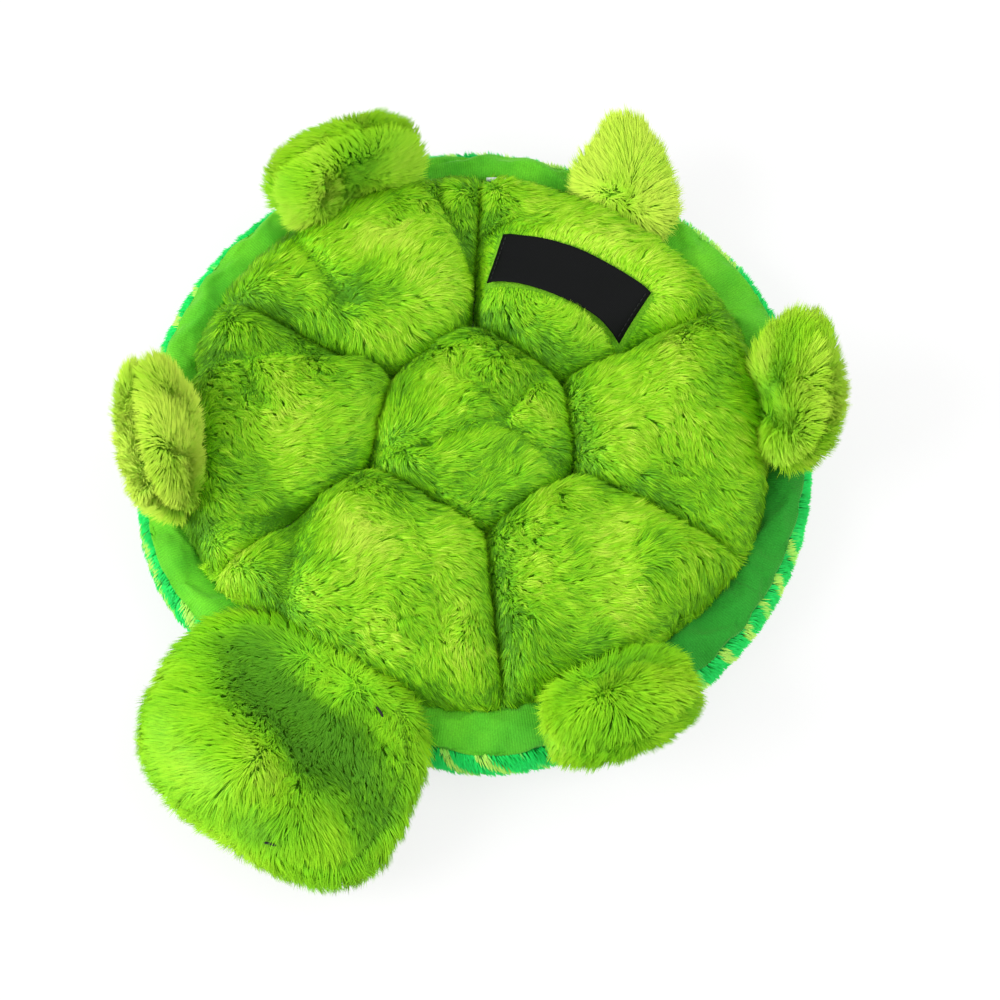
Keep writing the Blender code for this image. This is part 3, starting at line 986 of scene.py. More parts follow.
def scatter(cloth: bpy.types.Object, density: float, generator: np.random.Generator) -> tuple[Spots, Spots]:
    """Spreads points evenly over a mesh.

    Args:
        cloth: The mesh's object, in place.
        density: Points in a square metre.
        generator: The seeded source of chance.

    Returns:
        The points, and the smooth normal at each.
    """
    mesh = cloth.data
    mesh.calc_loop_triangles()
    corners = np.empty(len(mesh.loop_triangles) * 3, dtype=np.int32)
    mesh.loop_triangles.foreach_get("vertices", corners)
    corners = corners.reshape(-1, 3)
    points = read_vectors(mesh.vertices, "co")
    normals = read_vectors(mesh.vertices, "normal")
    first, second, third = (points[corners[:, i]] for i in range(3))
    areas = np.linalg.norm(np.cross(second - first, third - first), axis=1) / 2
    total = areas.sum()
    count = int(total * density)
    marks = (np.arange(count) + generator.random(count)) / count * total
    chosen = np.minimum(np.searchsorted(np.cumsum(areas), marks), len(areas) - 1)
    weights = np.sort(generator.random((count, 2)), axis=1)
    shares = np.column_stack((weights[:, 0], weights[:, 1] - weights[:, 0], 1 - weights[:, 1]))
    picked = corners[chosen]
    where = np.einsum("ij,ijk->ik", shares, points[picked])
    facing = unit(np.einsum("ij,ijk->ik", shares, normals[picked]))
    return where, facing


@dataclass(frozen=True)
class Crease:
    """A fold pressed into stuffed cloth: a line between two points in millimetres, with rounded banks."""

    start: tuple[float, float]
    end: tuple[float, float]
    depth: float
    width: float

    def depth_at(self, spots: Spots) -> Spots:
        """How deep the crease is at each point, in metres.

        Args:
            spots: Rows of x and y.

        Returns:
            One depth for each row.
        """
        first = (self.start[0] * MM, self.start[1] * MM)
        last = (self.end[0] * MM, self.end[1] * MM)
        return self.depth * MM * bell(line_distance(spots, first, last), self.width * MM)


@dataclass(frozen=True)
class Stitching:
    """A row of lockstitches, each a short rounded bar of thread that dips into the cloth at both ends.

    A swell is a place along a stitch, from 0 to 1, and its share of the full thickness there. The dip is how
    far the ends are sunk, as a share of the thread's radius.
    """

    thread: Thread
    stitch: float = 3.0 * MM
    gap: float = 1.0 * MM
    radius: float = 0.35 * MM
    swells: tuple[tuple[float, float], ...] = ((0.0, 0.15), (0.12, 0.8), (0.5, 1.0), (0.88, 0.8), (1.0, 0.15))
    dip: float = 0.4
    sides: int = 6

    def sew(self, name: str, lines: Sequence[Spots]) -> bpy.types.Object:
        """Sews along lines.

        Args:
            name: The new piece's name.
            lines: Each line's points in order.

        Returns:
            The stitches as one object.
        """
        points: list[Spots] = []
        faces: list[Spots] = []
        total = 0
        for line in lines:
            for first, last in self.bars(line):
                bar = self.bar_points(first, last)
                rings = len(bar) // self.sides
                sides = grid_faces(rings, self.sides, wraps=True)
                points.append(bar)
                faces.append(sides + total)
                total += len(bar)
        return new_piece(name, np.concatenate(points), np.concatenate(faces), self.thread)

    def bars(self, line: Spots) -> list[tuple[Spots, Spots]]:
        """Both ends of each stitch along a line.

        Args:
            line: The line's points in order.

        Returns:
            A pair of points for each stitch.
        """
        steps = np.linalg.norm(np.diff(line, axis=0), axis=1)
        places = np.concatenate(([0.0], np.cumsum(steps)))
        starts = np.arange(0.0, places[-1] - self.stitch, self.stitch + self.gap)
        ends = []
        for start in starts:
            pair = [
                np.array([np.interp(start + reach, places, line[:, axis]) for axis in range(3)])
                for reach in (0.0, self.stitch)
            ]
            ends.append((pair[0], pair[1]))
        return ends

    def bar_points(self, first: Spots, last: Spots) -> Spots:
        """Rings of points of one stitch.

        Args:
            first: One end.
            last: The other end.

        Returns:
            The points of one ring after another.
        """
        along = (last - first) / np.linalg.norm(last - first)
        across = np.cross(along, (0.0, 0.0, 1.0))
        across /= np.linalg.norm(across)
        upright = np.cross(across, along)
        rings = []
        for share, swell in self.swells:
            lifted = upright * self.radius * (math.sin(math.pi * share) - self.dip)
            centre = first + (last - first) * share + lifted
            for i in range(self.sides):
                turn = 2 * math.pi * i / self.sides
                way = across * math.cos(turn) + upright * math.sin(turn)
                rings.append(centre + way * self.radius * swell)
        return np.array(rings)


def cad_corner(node: str, corner: int) -> Vector:
    """The lowest (0) or highest (1) corner of a CAD node."""
    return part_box(node)[corner]


def report(piece: bpy.types.Object) -> None:
    """Tells the log what a piece came to."""
    LOG.info("%s: %d faces", piece.name, len(piece.data.polygons))


@dataclass(frozen=True)
class QuiltedBelly:
    """The belly: a slack pocket in the middle and six round it, sewn down between, with a squeaker in each.

    The corners are shares of a pocket's half width, and a seam from each meets the edge at its azimuth. The
    bulge is an azimuth and a width in degrees, and how far it stands out. A squeaker part is its name, the
    share of it that is level on top, and how steeply the cloth falls away beside it. Tone patches are places
    where the pile is drawn paler or darker: x, y and reach in millimetres, and how much paler. Turns of the
    pile's lie are in degrees, and its lengths are shares of the full one.
    """

    pocket_half_width: float = 37 * MM
    side_reach: float = 15.75 * MM
    dome_share: float = 0.36
    edge_radius: float = 111 * MM
    edge_flatness: tuple[float, ...] = (0.16, 0.1, 0.06, 0.0, 0.0, 0.34)
    bulge: tuple[float, float, float] = (238.0, 15.0, 6 * MM)
    cloth: float = 3.0 * MM
    pocket_cloth: float = 1.2 * MM
    seam_gap_share: float = 0.004
    corner_shares: tuple[tuple[float, float], ...] = (
        (1.11, 0.11),
        (0.46, 0.92),
        (-0.68, 1.0),
        (-1.08, 0.05),
        (-0.73, -0.97),
        (0.68, -0.95),
    )
    spoke_azimuths: tuple[float, ...] = (4.0, 61.0, 120.0, 184.0, 244.0, 306.0)
    rounding: float = 2.0 * MM
    turn_down: float = 2.4 * MM
    fringe_reach: float = 8 * MM
    lumps: Waves = Waves(length=42 * MM, seed=11)
    lump_height: float = 1.1 * MM
    creases: tuple[Crease, ...] = (
        Crease((7, 2), (9, 26), depth=5.0, width=4.5),
        Crease((6, 1), (-10, -20), depth=5.0, width=4.5),
        Crease((-10, -20), (-25, -29), depth=4.4, width=4.0),
        Crease((9, 1), (38, 1), depth=2.2, width=4.5),
        Crease((-64, 74), (-38, 54), depth=5.0, width=5.0),
        Crease((-38, 54), (-25, 39), depth=4.0, width=4.0),
        Crease((-62, -4), (-106, -35), depth=4.0, width=5.5),
        Crease((-35, -67), (-62, -91), depth=4.0, width=5.5),
        Crease((-34, -72), (-21, -99), depth=3.2, width=6.0),
        Crease((-100, 25), (-68, 14), depth=1.6, width=4.0),
        Crease((-88, -30), (-72, -39), depth=1.8, width=4.0),
    )
    tone_patches: tuple[tuple[float, float, float, float], ...] = (
        (-65, -67, 13, -0.28),
        (-88, -14, 15, -0.3),
        (-73, 13, 9, -0.16),
        (60, -58, 15, -0.3),
        (72, 17, 14, -0.18),
        (9, -19, 14, -0.22),
        (-4, 4, 26, -0.16),
        (-82, -38, 10, -0.14),
        (-27, -88, 11, -0.22),
        (94, -29, 12, -0.12),
        (-2, 31, 12, -0.14),
        (12, 94, 16, 0.2),
        (40, 34, 13, 0.14),
        (-14, -70, 14, 0.14),
        (-46, -98, 12, 0.2),
        (-60, 46, 13, 0.1),
        (66, -28, 14, 0.12),
    )
    squeaker_parts: tuple[tuple[str, float, float], ...] = (("reed", 1.0, 1.5), ("bulb", 0.75, 1.0))
    beside_squeaker: float = 0.6 * MM
    over_squeaker: float = 0.4 * MM
    pile: Pile = Pile(
        LIME_PILE,
        length=8.5 * MM,
        width=0.45 * MM,
        per_square_mm=4.8,
        root_lean=30.0,
        tip_lean=64.0,
    )
    lie_turn: float = 12.0
    brush: Waves = Waves(length=62 * MM, seed=21)
    brush_turn: float = 34.0
    ruffles: Waves = Waves(length=15 * MM, seed=23)
    ruffle_turn: float = 13.0
    overhang: float = 1.6
    parting_pull: float = 2.0
    # Painted shade: the pile is darkest at its seams and paler over the open pocket, and darker again in the
    # creases
    seam_shade: float = 0.19
    open_shade: float = 0.34
    open_reach: float = 13 * MM
    tone: Waves = Waves(length=34 * MM, seed=22)
    tone_shade: float = 0.11
    painted_crease_shade: float = 0.24
    seam_pile: float = 0.45
    open_pile: float = 0.55
    seam_pile_reach: float = 7 * MM
    edge_pile: float = 0.95
    fold_loss: float = 0.62
    parting_loss: float = 0.62
    press_keep: float = 0.65
    turned_edge_share: float = 1.001
    steps: int = 44
    seam_steps: int = 24

    @property
    def seam_height(self) -> float:
        """Height of the cloth's outer face along its seams."""
        return cad_corner("belly_panel", 0).z + self.cloth

    @property
    def crown(self) -> float:
        """How far the highest pocket stands over its seams."""
        return cad_corner("belly_panel", 1).z - self.seam_height

    @property
    def sectors(self) -> int:
        """How many pockets lie round the middle one."""
        return len(self.corner_shares)

    @property
    def labels(self) -> list[str]:
        """The pockets' names, the middle one first."""
        return ["centre", *[str(sector + 1) for sector in range(self.sectors)]]

    def corners(self, sector: int, share: Spots) -> Spots:
        """Points on one side of the middle pocket.

        Args:
            sector: Which side.
            share: How far along it, 0 to 1.

        Returns:
            One point for each share.
        """
        shares = [self.corner_shares[(sector + i) % self.sectors] for i in range(2)]
        start, end = (np.array(share_pair) * self.pocket_half_width for share_pair in shares)
        return start + (end - start) * share[:, None]

    def edge(self, sector: int, share: Spots) -> Spots:
        """Points on the belly's edge within one sector.

        Args:
            sector: Which sector.
            share: How far along its edge, 0 to 1.

        Returns:
            One point for each share.
        """
        start, end = (self.spoke_azimuths[(sector + i) % self.sectors] for i in range(2))
        angle = np.radians(start + (end - start) % 360.0 * share)
        reach = self.edge_reach(angle)[:, None]
        return np.column_stack((np.cos(angle), np.sin(angle) * LENGTH_SHARE)) * reach

    def edge_reach(self, angle: Spots) -> Spots:
        """How far the belly's edge is from the middle: an arc, straighter in some sectors, with one bulge.

        Args:
            angle: Angles in radians.

        Returns:
            One distance for each angle, before the toy's length is drawn in.
        """
        reach = np.full(len(angle), self.edge_radius)
        for sector, flatness in enumerate(self.edge_flatness):
            start, end = (self.spoke_azimuths[(sector + i) % self.sectors] for i in range(2))
            half = math.radians((end - start) % 360.0) / 2
            off = (angle - math.radians(start) - half + math.pi) % (2 * math.pi) - math.pi
            inside = np.abs(off) < half
            straight = self.edge_radius * math.cos(half) / np.cos(np.where(inside, off, 0.0))
            reach = np.where(inside, self.edge_radius + (straight - self.edge_radius) * flatness, reach)
        azimuth, width, height = self.bulge
        off = (np.degrees(angle) - azimuth + 180) % 360 - 180
        return reach + height * bell(off, width)

    def seams(self) -> list[tuple[Spots, Spots]]:
        """Both ends of each straight line of quilting.

        Returns:
            A pair of points for each line.
        """
        ends = np.array([0.0, 1.0])
        lines = []
        for sector in range(self.sectors):
            side, rim = self.corners(sector, ends), self.edge(sector, ends)
            lines += [(side[0], side[1]), (side[0], rim[0])]
        return lines

    def seam_distance(self, spots: Spots) -> Spots:
        """How far points of the belly are from its seams, rounded off where two seams are equally near.

        Args:
            spots: Rows of x and y.

        Returns:
            One distance for each row.
        """
        distances = [self.edge_distance(spots)]
        distances += [line_distance(spots, start, end) for start, end in self.seams()]
        near = np.exp(-np.stack(distances) / self.rounding).sum(axis=0)
        return np.maximum(-np.log(near) * self.rounding, 0.0)

    def top(self, spots: Spots) -> Spots:
        """Height of the cloth's outer face.

        Args:
            spots: Rows of x and y.

        Returns:
            One height for each row.
        """
        distance = self.seam_distance(spots)
        side = puff(distance, self.side_reach)
        dome = puff(distance, self.pocket_half_width)
        height = self.crown * (side + (dome - side) * self.dome_share)
        height += self.lumps.at(np.column_stack((spots, np.zeros(len(spots))))) * self.lump_height * side
        for crease in self.creases:
            height -= crease.depth_at(spots) * side
        return self.seam_height + np.maximum(height, self.over_squeakers(spots))

    def over_squeakers(self, spots: Spots) -> Spots:
        """The least height over the seams that keeps the cloth clear of the squeakers' bulbs and reeds.

        Args:
            spots: Rows of x and y.

        Returns:
            One height for each row.
        """
        least = np.zeros(len(spots))
        for label in self.labels:
            for part, level_share, slope in self.squeaker_parts:
                low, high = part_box(f"squeaker_{part}_{label}")
                middle, reach = (low + high) / 2, (high.x - low.x) / 2 * level_share + self.beside_squeaker
                past = np.maximum(np.hypot(spots[:, 0] - middle.x, spots[:, 1] - middle.y) - reach, 0.0)
                level = high.z + self.pocket_cloth + self.over_squeaker - self.seam_height
                least = np.maximum(least, level - past * slope)
        return least

    def edge_distance(self, spots: Spots) -> Spots:
        """How far points are inside the belly's edge."""
        x, y = spots[:, 0], spots[:, 1] / LENGTH_SHARE
        return np.maximum(self.edge_reach(np.arctan2(y, x)) - np.hypot(x, y), 0.0)

    def folded(self, spots: Spots) -> Spots:
        """How deep points lie in a crease, from 0 to 1."""
        depths = np.stack([crease.depth_at(spots[:, :2]) / (crease.depth * MM) for crease in self.creases])
        return depths.max(axis=0)

    def brushed(self, spots: Spots) -> Spots:
        """How much paler or darker the pile is drawn in its tone patches.

        Args:
            spots: Rows of x, y and z.

        Returns:
            A change of shade for each row.
        """
        paler = np.zeros(len(spots))
        for x, y, reach, change in self.tone_patches:
            paler += change * bell(np.hypot(spots[:, 0] - x * MM, spots[:, 1] - y * MM), reach * MM)
        return paler

    def pocket_cloths(self) -> list[bpy.types.Object]:
        """The sheet of each pocket, the middle one first.

        Returns:
            One object for each pocket.
        """
        eased = (1 - np.cos(np.linspace(0.0, math.pi, self.steps + 1))) / 2
        eased = self.seam_gap_share + eased * (1 - 2 * self.seam_gap_share)
        cloths = [self.middle_cloth(eased)]
        for sector in range(self.sectors):
            inner, outer = self.corners(sector, eased), self.edge(sector, eased)
            rows = [inner + (outer - inner) * share for share in eased]
            spots = np.concatenate(rows)
            points = np.column_stack((spots, self.top(spots)))
            hem = self.edge(sector, eased) * self.turned_edge_share
            turned = np.column_stack((hem, np.full(len(eased), self.seam_height)))
            turned[:, 2] -= self.turn_down
            points = np.concatenate((points, turned))
            faces = grid_faces(len(eased) + 1, len(eased))[:, ::-1]
            cloths.append(new_piece(f"pocket_{sector + 1}", points, faces, LIME_GROUND))
        return cloths

    def middle_cloth(self, eased: Spots) -> bpy.types.Object:
        """The middle pocket's sheet, in rings round its centre.

        Args:
            eased: Shares from seam to seam, closer together beside the seams.

        Returns:
            The new object.
        """
        share = np.linspace(0.0, 1.0, self.steps // 2, endpoint=False)
        outline = np.concatenate([self.corners(sector, share) for sector in range(self.sectors)])
        centre = outline.mean(axis=0)
        rings = np.sin(eased * math.pi / 2)[1:] * (1 - self.seam_gap_share)
        spots = np.concatenate([centre[None], *[centre + (outline - centre) * ring for ring in rings]])
        points = np.column_stack((spots, self.top(spots)))
        count = len(outline)
        fan = np.array([[0, 1 + i, 1 + (i + 1) % count, -1] for i in range(count)])
        faces = np.concatenate((fan, grid_faces(len(rings), count, wraps=True)[:, ::-1] + 1))
        return new_piece("pocket_centre", points, faces, LIME_GROUND)

    def build(self, bare: Field, parted: Field) -> None:
        """Makes the pockets, their pile and the quilting stitches.

        Args:
            bare: Tells which roots lie under the sewn label.
            parted: Gives the way and the strength with which the label pushes the pile beside it away.
        """

        def nap(spots: Spots, normals: Spots) -> Spots:
            """The pile lies across the toy, turned here and there by handling, and hangs over the edge.

            Args:
                spots: The roots.
                normals: The cloth's normals there.

            Returns:
                One way for each root.
            """
            turn = math.radians(self.lie_turn) + self.brush.at(spots) * math.radians(self.brush_turn)
            turn = turn + self.ruffles.at(spots) * math.radians(self.ruffle_turn)
            over = 1 - ease(self.edge_distance(spots) / self.fringe_reach)
            lie = np.column_stack((np.cos(turn), np.sin(turn), np.zeros(len(spots))))
            lie = lie + unit(spots * (1.0, 1.0, 0.0)) * over[:, None] * self.overhang
            return lie + parted(spots) * self.parting_pull

        def shade(spots: Spots) -> Spots:
            """Painted shade: darker towards the seams and in the creases, where shade falls, with random tone and
            tone patches.

            Args:
                spots: The roots.

            Returns:
                One shade for each root.
            """
            distance = self.seam_distance(spots[:, :2])
            paler = self.open_shade * ease(distance / self.open_reach) + self.tone_shade * self.tone.at(spots)
            paler = paler - self.painted_crease_shade * self.folded(spots)
            return self.seam_shade + paler + self.brushed(spots)

        def height(spots: Spots) -> Spots:
            """Shorter at the seams and in the creases, where the cloth is drawn in, but not at the edge.

            Args:
                spots: The roots.

            Returns:
                The share of its length that each root's lock has.
            """
            distance = self.seam_distance(spots[:, :2])
            over = 1 - ease(self.edge_distance(spots) / self.fringe_reach)
            inner = self.seam_pile + self.open_pile * ease(distance / self.seam_pile_reach)
            full = np.maximum(inner, over * self.edge_pile)
            pushed = np.linalg.norm(parted(spots), axis=1)
            return full * (1 - self.fold_loss * self.folded(spots)) * (1 - self.parting_loss * pushed)

        def elsewhere(spots: Spots, outer: bool) -> Spots:
            """Roots that stay bare or are on the pocket's other half."""
            reach = np.hypot(spots[:, 0], spots[:, 1])
            return bare(spots) | ((reach > np.median(reach)) != outer)

        for number, (label, cloth) in enumerate(zip(self.labels, self.pocket_cloths())):
            piles = [
                self.pile.grow(
                    f"pocket_{label}_{half}_pile",
                    cloth,
                    nap,
                    seed=100 + number,
                    shade=shade,
                    height=height,
                    bare=partial(elsewhere, outer=half == "outer"),
                )
                for half in ("inner", "outer")
            ]
            thicken(cloth, self.pocket_cloth)
            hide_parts("belly_panel")
            for piece in (cloth, *piles):
                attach(piece, "body")
                self.sink(piece, label)
                report(piece)
        self.sew_down()

    def sink(self, piece: bpy.types.Object, label: str) -> None:
        """Gives a piece its own copy of its mesh. It is not flattened with its pocket as the squeaker under it is
        pressed.

        Args:
            piece: A part of the pocket, or something sewn on it.
            label: The pocket's label. Not used.
        """
        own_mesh(piece)

    def sew_down(self) -> None:
        """The quilting stitches at the bottom of the grooves."""
        lines = []
        for start, end in self.seams():
            spots = start + (end - start) * np.linspace(0.0, 1.0, self.seam_steps)[:, None]
            lines.append(np.column_stack((spots, np.full(len(spots), self.seam_height))))
        stitches = Stitching(DARK_THREAD).sew("quilting_stitches", lines)
        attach(stitches, "body")
        report(stitches)


@dataclass(frozen=True)
class SoftBulbs:
    """The squeakers' blown bulbs, each a copy of its CAD bulb. The real bulb gives under a hand; nothing here
    makes its top sink.
    """

    labels: Sequence[str]

    def build(self) -> None:
        """Makes a soft bulb of the CAD bulb's own shape for each pocket."""
        for label in self.labels:
            solid, joint = f"squeaker_bulb_{label}", f"squeaker_{label}_press"
            bulb = bpy.data.objects.new(f"soft_bulb_{label}", frame["nodes"][solid].data.copy())
            bpy.context.scene.collection.objects.link(bulb)
            bulb.data.materials.clear()
            bulb.data.materials.append(SQUEAKER_PLASTIC.material())
            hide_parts(solid)
            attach(bulb, "body")
            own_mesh(bulb)
            report(bulb)


@dataclass(frozen=True)
class Girth:
    """Where the toy sags out of its oval as it lies: each place's azimuth, width in degrees and reach."""

    places: tuple[tuple[float, float, float], ...] = (
        (240.0, 20.0, 7.5 * MM),
        (303.0, 16.0, 5.0 * MM),
        (68.0, 18.0, 3.0 * MM),
    )

    def at(self, angle: Spots) -> Spots:
        """How far the outline stands out of the oval.

        Args:
            angle: Angles in radians.

        Returns:
            One distance for each angle.
        """
        reach = np.zeros(len(angle))
        for azimuth, width, height in self.places:
            reach += height * bell((np.degrees(angle) - azimuth + 180) % 360 - 180, width)
        return reach


@dataclass(frozen=True)
class Slack:
    """Cloth that is held along its seams and has more length than the space it fills, settled as cloth."""

    growth: float = 0.05
    pressure: float = 0.35
    bending: float = 0.02
    tension: float = 12.0
    mass: float = 0.05
    quality: int = 6
    frames: int = 18
    most_up: float = 2.4 * MM
    most_down: float = 1.2 * MM

    def settle(self, piece: bpy.types.Object, held: Spots) -> None:
        """Settles a sheet in place.

        Args:
            piece: The sheet.
            held: The numbers of the points that its seams hold.
        """
        start = read_vectors(piece.data.vertices, "co")
        group = piece.vertex_groups.new(name="seams")
        group.add([int(number) for number in held], 1.0, "REPLACE")
        cloth = piece.modifiers.new("slack", "CLOTH")
        settings = cloth.settings
        settings.vertex_group_mass = group.name
        settings.quality = self.quality
        settings.mass = self.mass
        settings.tension_stiffness = settings.compression_stiffness = self.tension
        settings.shear_stiffness = self.tension / 3
        settings.bending_stiffness = self.bending
        settings.use_pressure = True
        settings.uniform_pressure_force = self.pressure
        settings.shrink_min = settings.shrink_max = -self.growth
        settings.effector_weights.gravity = 0.0
        cloth.collision_settings.use_collision = False
        cloth.point_cache.frame_end = self.frames
        for frame_number in range(1, self.frames + 1):
            bpy.context.scene.frame_set(frame_number)
        graph = bpy.context.evaluated_depsgraph_get()
        settled = read_vectors(piece.evaluated_get(graph).data.vertices, "co")
        piece.modifiers.clear()
        piece.vertex_groups.clear()
        bpy.context.scene.frame_set(1)
        moved = settled - start
        rise = np.clip(moved[:, 2:], -self.most_down, self.most_up)
        across = np.clip(moved[:, :2], -self.most_up, self.most_up)
        shaped = start + np.concatenate((across, rise), axis=1)
        piece.data.vertices.foreach_set("co", shaped.astype(np.float32).ravel())
        piece.data.update()


@dataclass(frozen=True)
class RimBand:
    """The velour band between the belly and the shell: a low roll, gathered a little by its two seams."""

    belly: QuiltedBelly
    cloth: float = 1.2 * MM
    width: float = 20.0 * MM
    edge_gap: float = 0.3 * MM
    crown: float = 5.0 * MM
    roundness: float = 0.8
    pucker: float = 0.45 * MM
    columns: int = 620
    rows: int = 22
    gathers: Waves = Waves(length=15 * MM, seed=31)
    gather_stretch: tuple[float, float, float] = (1.0, 1.0, 0.3)
    rolls: Waves = Waves(length=70 * MM, seed=32)
    roll_share: float = 1.4
    girth: Girth = Girth()
    slack: Slack = Slack()

    def build(self) -> None:
        """Makes the band."""
        half_width = cad_corner("rim_band", 1).x + SEAM_TURN_IN
        top = cad_corner("rim_band", 1).z
        outer_foot, inner_foot = top - self.crown, cad_corner("rim_band", 0).z
        share = np.linspace(0.0, 1.0, self.rows)
        inset = SEAM_TURN_IN + (self.width - self.edge_gap - SEAM_TURN_IN) * (1 - np.cos(math.pi * share)) / 2
        foot = outer_foot + (inner_foot - outer_foot) * ease(share)
        height = foot + (top - foot) * np.sin(math.pi * share) ** self.roundness
        angle = np.linspace(0.0, 2 * math.pi, self.columns, endpoint=False)
        drawn_in = self.belly.edge_radius - self.belly.edge_reach(angle)
        radius = (half_width - inset)[:, None] - ease(share)[:, None] * drawn_in
        radius += (1 - ease(share))[:, None] * self.girth.at(angle)
        x, y = radius * np.cos(angle), radius * np.sin(angle) * LENGTH_SHARE
        flat = np.stack((x, y, np.broadcast_to(height[:, None], x.shape)), axis=-1).reshape(-1, 3)
        fullness = np.repeat(np.sin(math.pi * share), self.columns)
        waves = self.gathers.at(flat * self.gather_stretch) + self.roll_share * self.rolls.at(flat)
        flat[:, 2] += fullness * waves * self.pucker
        run = angle * half_width
        across = np.concatenate(([0.0], np.cumsum(np.hypot(np.diff(inset), np.diff(height)))))
        places = np.stack(np.broadcast_arrays(run[None, :], across[:, None]), axis=-1).reshape(-1, 2)
        band = new_piece(
            "velour_band", flat, grid_faces(self.rows, self.columns, wraps=True), GREEN_VELOUR, places
        )
        last = len(flat)
        self.slack.settle(band, np.r_[0 : self.columns, last - self.columns : last])
        thicken(band, self.cloth)
        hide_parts("rim_band")
        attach(band, "body")
        report(band)


@dataclass(frozen=True)
class StripedShell:
    """The shell: a shallow dish of short striped plush that the toy rests on.

    Its section has rings on the flat underside, round the curve and up the side. A stripe's edge and its
    break are each a start and a reach. The lie is how far the pile runs outwards, round the shell and down.
    """

    cloth: float = 2.0 * MM
    pile_bed: float = 1.2 * MM
    curve_width: float = 50 * MM
    widest_height: float = 14 * MM
    middle_radius: float = 2 * MM
    ring_counts: tuple[int, int, int] = (20, 22, 9)
    columns: int = 240
    stripe_spacing: float = 12 * MM
    stripe_turn: float = 62.0
    stripe_slant: float = 0.6
    stripe_wander: float = 0.3
    stripe_edge: tuple[float, float] = (0.45, 0.3)
    stripe_break: tuple[float, float] = (1.1, 0.8)
    plain_shade: float = 0.3
    stripe_shade: float = 0.62
    ripple_shade: float = 0.07
    warp: Waves = Waves(length=60 * MM, seed=41)
    ripple: Waves = Waves(length=14 * MM, seed=42)
    girth: Girth = Girth()
    pile: Pile = Pile(
        SHELL_PILE,
        length=5.0 * MM,
        width=0.62 * MM,
        per_square_mm=2.3,
        root_lean=50.0,
        tip_lean=76.0,
        clump_spacing=3.0 * MM,
        clump_pull=0.08,
        ruffle=0.1,
        shade_spread=0.04,
        softness=0.8,
    )
    lie: tuple[float, float, float] = (0.5, 0.35, 0.7)
    lowest: float = 0.15 * MM
    parts: int = 5

    def section(self, half_width: float, top: float) -> Spots:
        """Radius and height along the shell's cloth, from the middle of its underside to its seam.

        Args:
            half_width: The shell's widest radius.
            top: The height of its seam.

        Returns:
            Rows of radius and height.
        """
        low = self.pile_bed
        flat_rings, curve_rings, side_rings = self.ring_counts
        flat = np.linspace(self.middle_radius, half_width - self.curve_width, flat_rings, endpoint=False)
        turn = np.linspace(0.0, math.pi / 2, curve_rings, endpoint=False)
        side = np.linspace(0.0, math.pi / 2, side_rings)
        reach = half_width - self.pile_bed
        curve = np.column_stack(
            (
                half_width - self.curve_width + (self.curve_width - self.pile_bed) * np.sin(turn),
                low + (self.widest_height - low) * (1 - np.cos(turn)),
            )
        )
        lean = np.column_stack(
            (
                reach - SEAM_TURN_IN * (1 - np.cos(side)),
                self.widest_height + (top - self.widest_height) * np.sin(side),
            )
        )
        return np.concatenate((np.column_stack((flat, np.full(len(flat), low))), curve, lean))

    def stripes(self, spots: Spots) -> Spots:
        """The dye's shade: emerald with pale lime stripes that wander and break.

        Args:
            spots: The roots.

        Returns:
            One shade for each root.
        """
        turn = math.radians(self.stripe_turn)
        across = spots[:, 0] * math.cos(turn) + spots[:, 1] * math.sin(turn) + self.stripe_slant * spots[:, 2]
        wave = np.cos((across / self.stripe_spacing + self.stripe_wander * self.warp.at(spots)) * 2 * math.pi)
        edge, edge_reach = self.stripe_edge
        broken, break_reach = self.stripe_break
        pale = ease((wave - edge) / edge_reach)
        pale = pale * ease((self.warp.at(spots[:, ::-1]) + broken) / break_reach)
        return self.plain_shade + self.stripe_shade * pale + self.ripple_shade * self.ripple.at(spots)

    def build(self) -> None:
        """Makes the dish and its pile, in parts so that none is too heavy to save."""
        half_width, top = cad_corner("shell_back", 1).x, cad_corner("shell_back", 1).z
        section = self.section(half_width, top)
        angle = np.linspace(0.0, 2 * math.pi, self.columns, endpoint=False)
        radius = section[:, :1] * (1 + self.girth.at(angle) / half_width)
        x, y = radius * np.cos(angle), radius * np.sin(angle) * LENGTH_SHARE
        z = np.broadcast_to(section[:, 1:], x.shape)
        points = np.stack((x, y, z), axis=-1).reshape(-1, 3)
        points = np.concatenate(([[0.0, 0.0, self.pile_bed]], points))
        fan = np.array([[0, 1 + (i + 1) % self.columns, 1 + i, -1] for i in range(self.columns)])
        faces = np.concatenate((fan, grid_faces(len(section), self.columns, wraps=True) + 1))
        dish = new_piece("shell_cloth", points, faces, SHELL_GROUND)

        def nap(spots: Spots, normals: Spots) -> Spots:
            """The pile lies outwards and down the shell, and a little round it.

            Args:
                spots: The roots.
                normals: The cloth's normals there.

            Returns:
                One way for each root.
            """
            outwards, round_it, down = self.lie
            away = unit(spots * (1.0, 1.0, 0.0))
            round_about = np.cross((0.0, 0.0, 1.0), away)
            return away * outwards + round_about * round_it - np.array((0.0, 0.0, down))

        def elsewhere(spots: Spots, start: float) -> Spots:
            """Roots outside the part of the shell that starts at an angle."""
            turn = (np.arctan2(spots[:, 1], spots[:, 0]) - start) % (2 * math.pi)
            return turn >= 2 * math.pi / self.parts

        for part in range(self.parts):
            pile = self.pile.grow(
                f"shell_pile_{part + 1}",
                dish,
                nap,
                seed=200,
                shade=self.stripes,
                bare=partial(elsewhere, start=part * 2 * math.pi / self.parts),
                lowest=self.lowest,
            )
            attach(pile, "body")
            report(pile)
        thicken(dish, self.cloth)
        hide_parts("shell_back")
        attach(dish, "body")
        report(dish)


